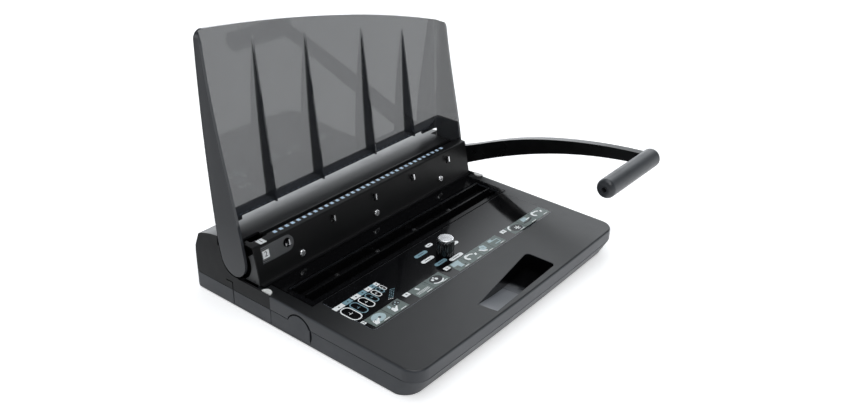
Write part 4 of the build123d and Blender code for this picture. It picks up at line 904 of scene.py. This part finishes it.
def floor():
    """A plain floor that glows a little, and on its left side looks dimmer in mirrors."""
    mesh = bmesh.new()
    bmesh.ops.create_grid(mesh, x_segments=2, y_segments=2, size=floor_half)
    material = bpy.data.materials.new("floor")
    tree = empty_tree(material)
    out = tree.nodes.new("ShaderNodeOutputMaterial")
    matt = tree.nodes.new("ShaderNodeBsdfDiffuse")
    glow = tree.nodes.new("ShaderNodeEmission")
    both = tree.nodes.new("ShaderNodeAddShader")
    path = tree.nodes.new("ShaderNodeLightPath")
    dim = ranged(tree, split_of(tree, "Object")["X"], floor_dim, 1, floor_dim_x)
    level = larger(tree, dim, path.outputs["Is Camera Ray"])
    tree.links.new(blended(tree, level, (0, 0, 0), floor_white), matt.inputs["Color"])
    tree.links.new(times(tree, level, floor_glow), glow.inputs["Strength"])
    tree.links.new(matt.outputs[0], both.inputs[0])
    tree.links.new(glow.outputs[0], both.inputs[1])
    tree.links.new(both.outputs[0], out.inputs[0])
    add_piece("floor", mesh_data("floor", mesh, material))


def sky_light(tree):
    """The level of the sky in each direction, as the object and its mirrors see it."""
    x, y, z = split_of(tree, "Generated")
    band = times(tree, ranged(tree, z, 1, 0, band_heights), band_level)
    band = times(tree, band, ranged(tree, x, band_dim, 1, band_dim_sides))
    band = times(tree, band, ranged(tree, y, 1, band_bright, band_bright_sides))
    turn = minus(tree, maths(tree, "ARCTAN2", y, x), times(tree, z, box_lean))
    box = times(tree, window(tree, turn, box_turns), window(tree, z, box_heights))
    sides = larger(tree, times(tree, box, box_level), band)
    top = times(tree, ranged(tree, z, 0, 1, top_heights), top_level)
    return plus(tree, larger(tree, sides, top), sky_between)


def sky():
    world = bpy.data.worlds.new("sky")
    bpy.context.scene.world = world
    tree = empty_tree(world)
    out = tree.nodes.new("ShaderNodeOutputWorld")
    back = tree.nodes.new("ShaderNodeBackground")
    path = tree.nodes.new("ShaderNodeLightPath")
    level = tree.nodes.new("ShaderNodeMix")
    low, high = mix_numbers
    seen = larger(tree, path.outputs["Is Camera Ray"], path.outputs["Is Transmission Ray"])
    tree.links.new(seen, level.inputs[mix_factor])
    tree.links.new(sky_light(tree), level.inputs[low])
    level.inputs[high].default_value = sky_seen
    back.inputs["Color"].default_value = (*sky_tint, 1)
    tree.links.new(level.outputs[mix_number_out], back.inputs["Strength"])
    tree.links.new(back.outputs[0], out.inputs[0])


def key_lamp():
    lamp = bpy.data.lights.new("key", "AREA")
    lamp.shape = "RECTANGLE"
    lamp.size, lamp.size_y = key_size
    lamp.energy = key_power
    piece = add_piece("key", lamp)
    piece.location = key_place
    aim = Vector(key_target) - Vector(key_place)
    piece.rotation_euler = aim.to_track_quat("-Z", "Y").to_euler()


def camera():
    data = bpy.data.cameras.new("camera")
    data.lens = camera_lens
    data.sensor_width = sensor_width
    piece = add_piece("camera", data)
    right, up = Vector(camera_right), Vector(camera_up)
    turn = Matrix((right, up, right.cross(up))).transposed().to_4x4()
    piece.matrix_world = Matrix.Translation(camera_place) @ turn
    bpy.context.scene.camera = piece


floor()
sky()
key_lamp()
camera()
bpy.context.scene.view_settings.view_transform = "Standard"
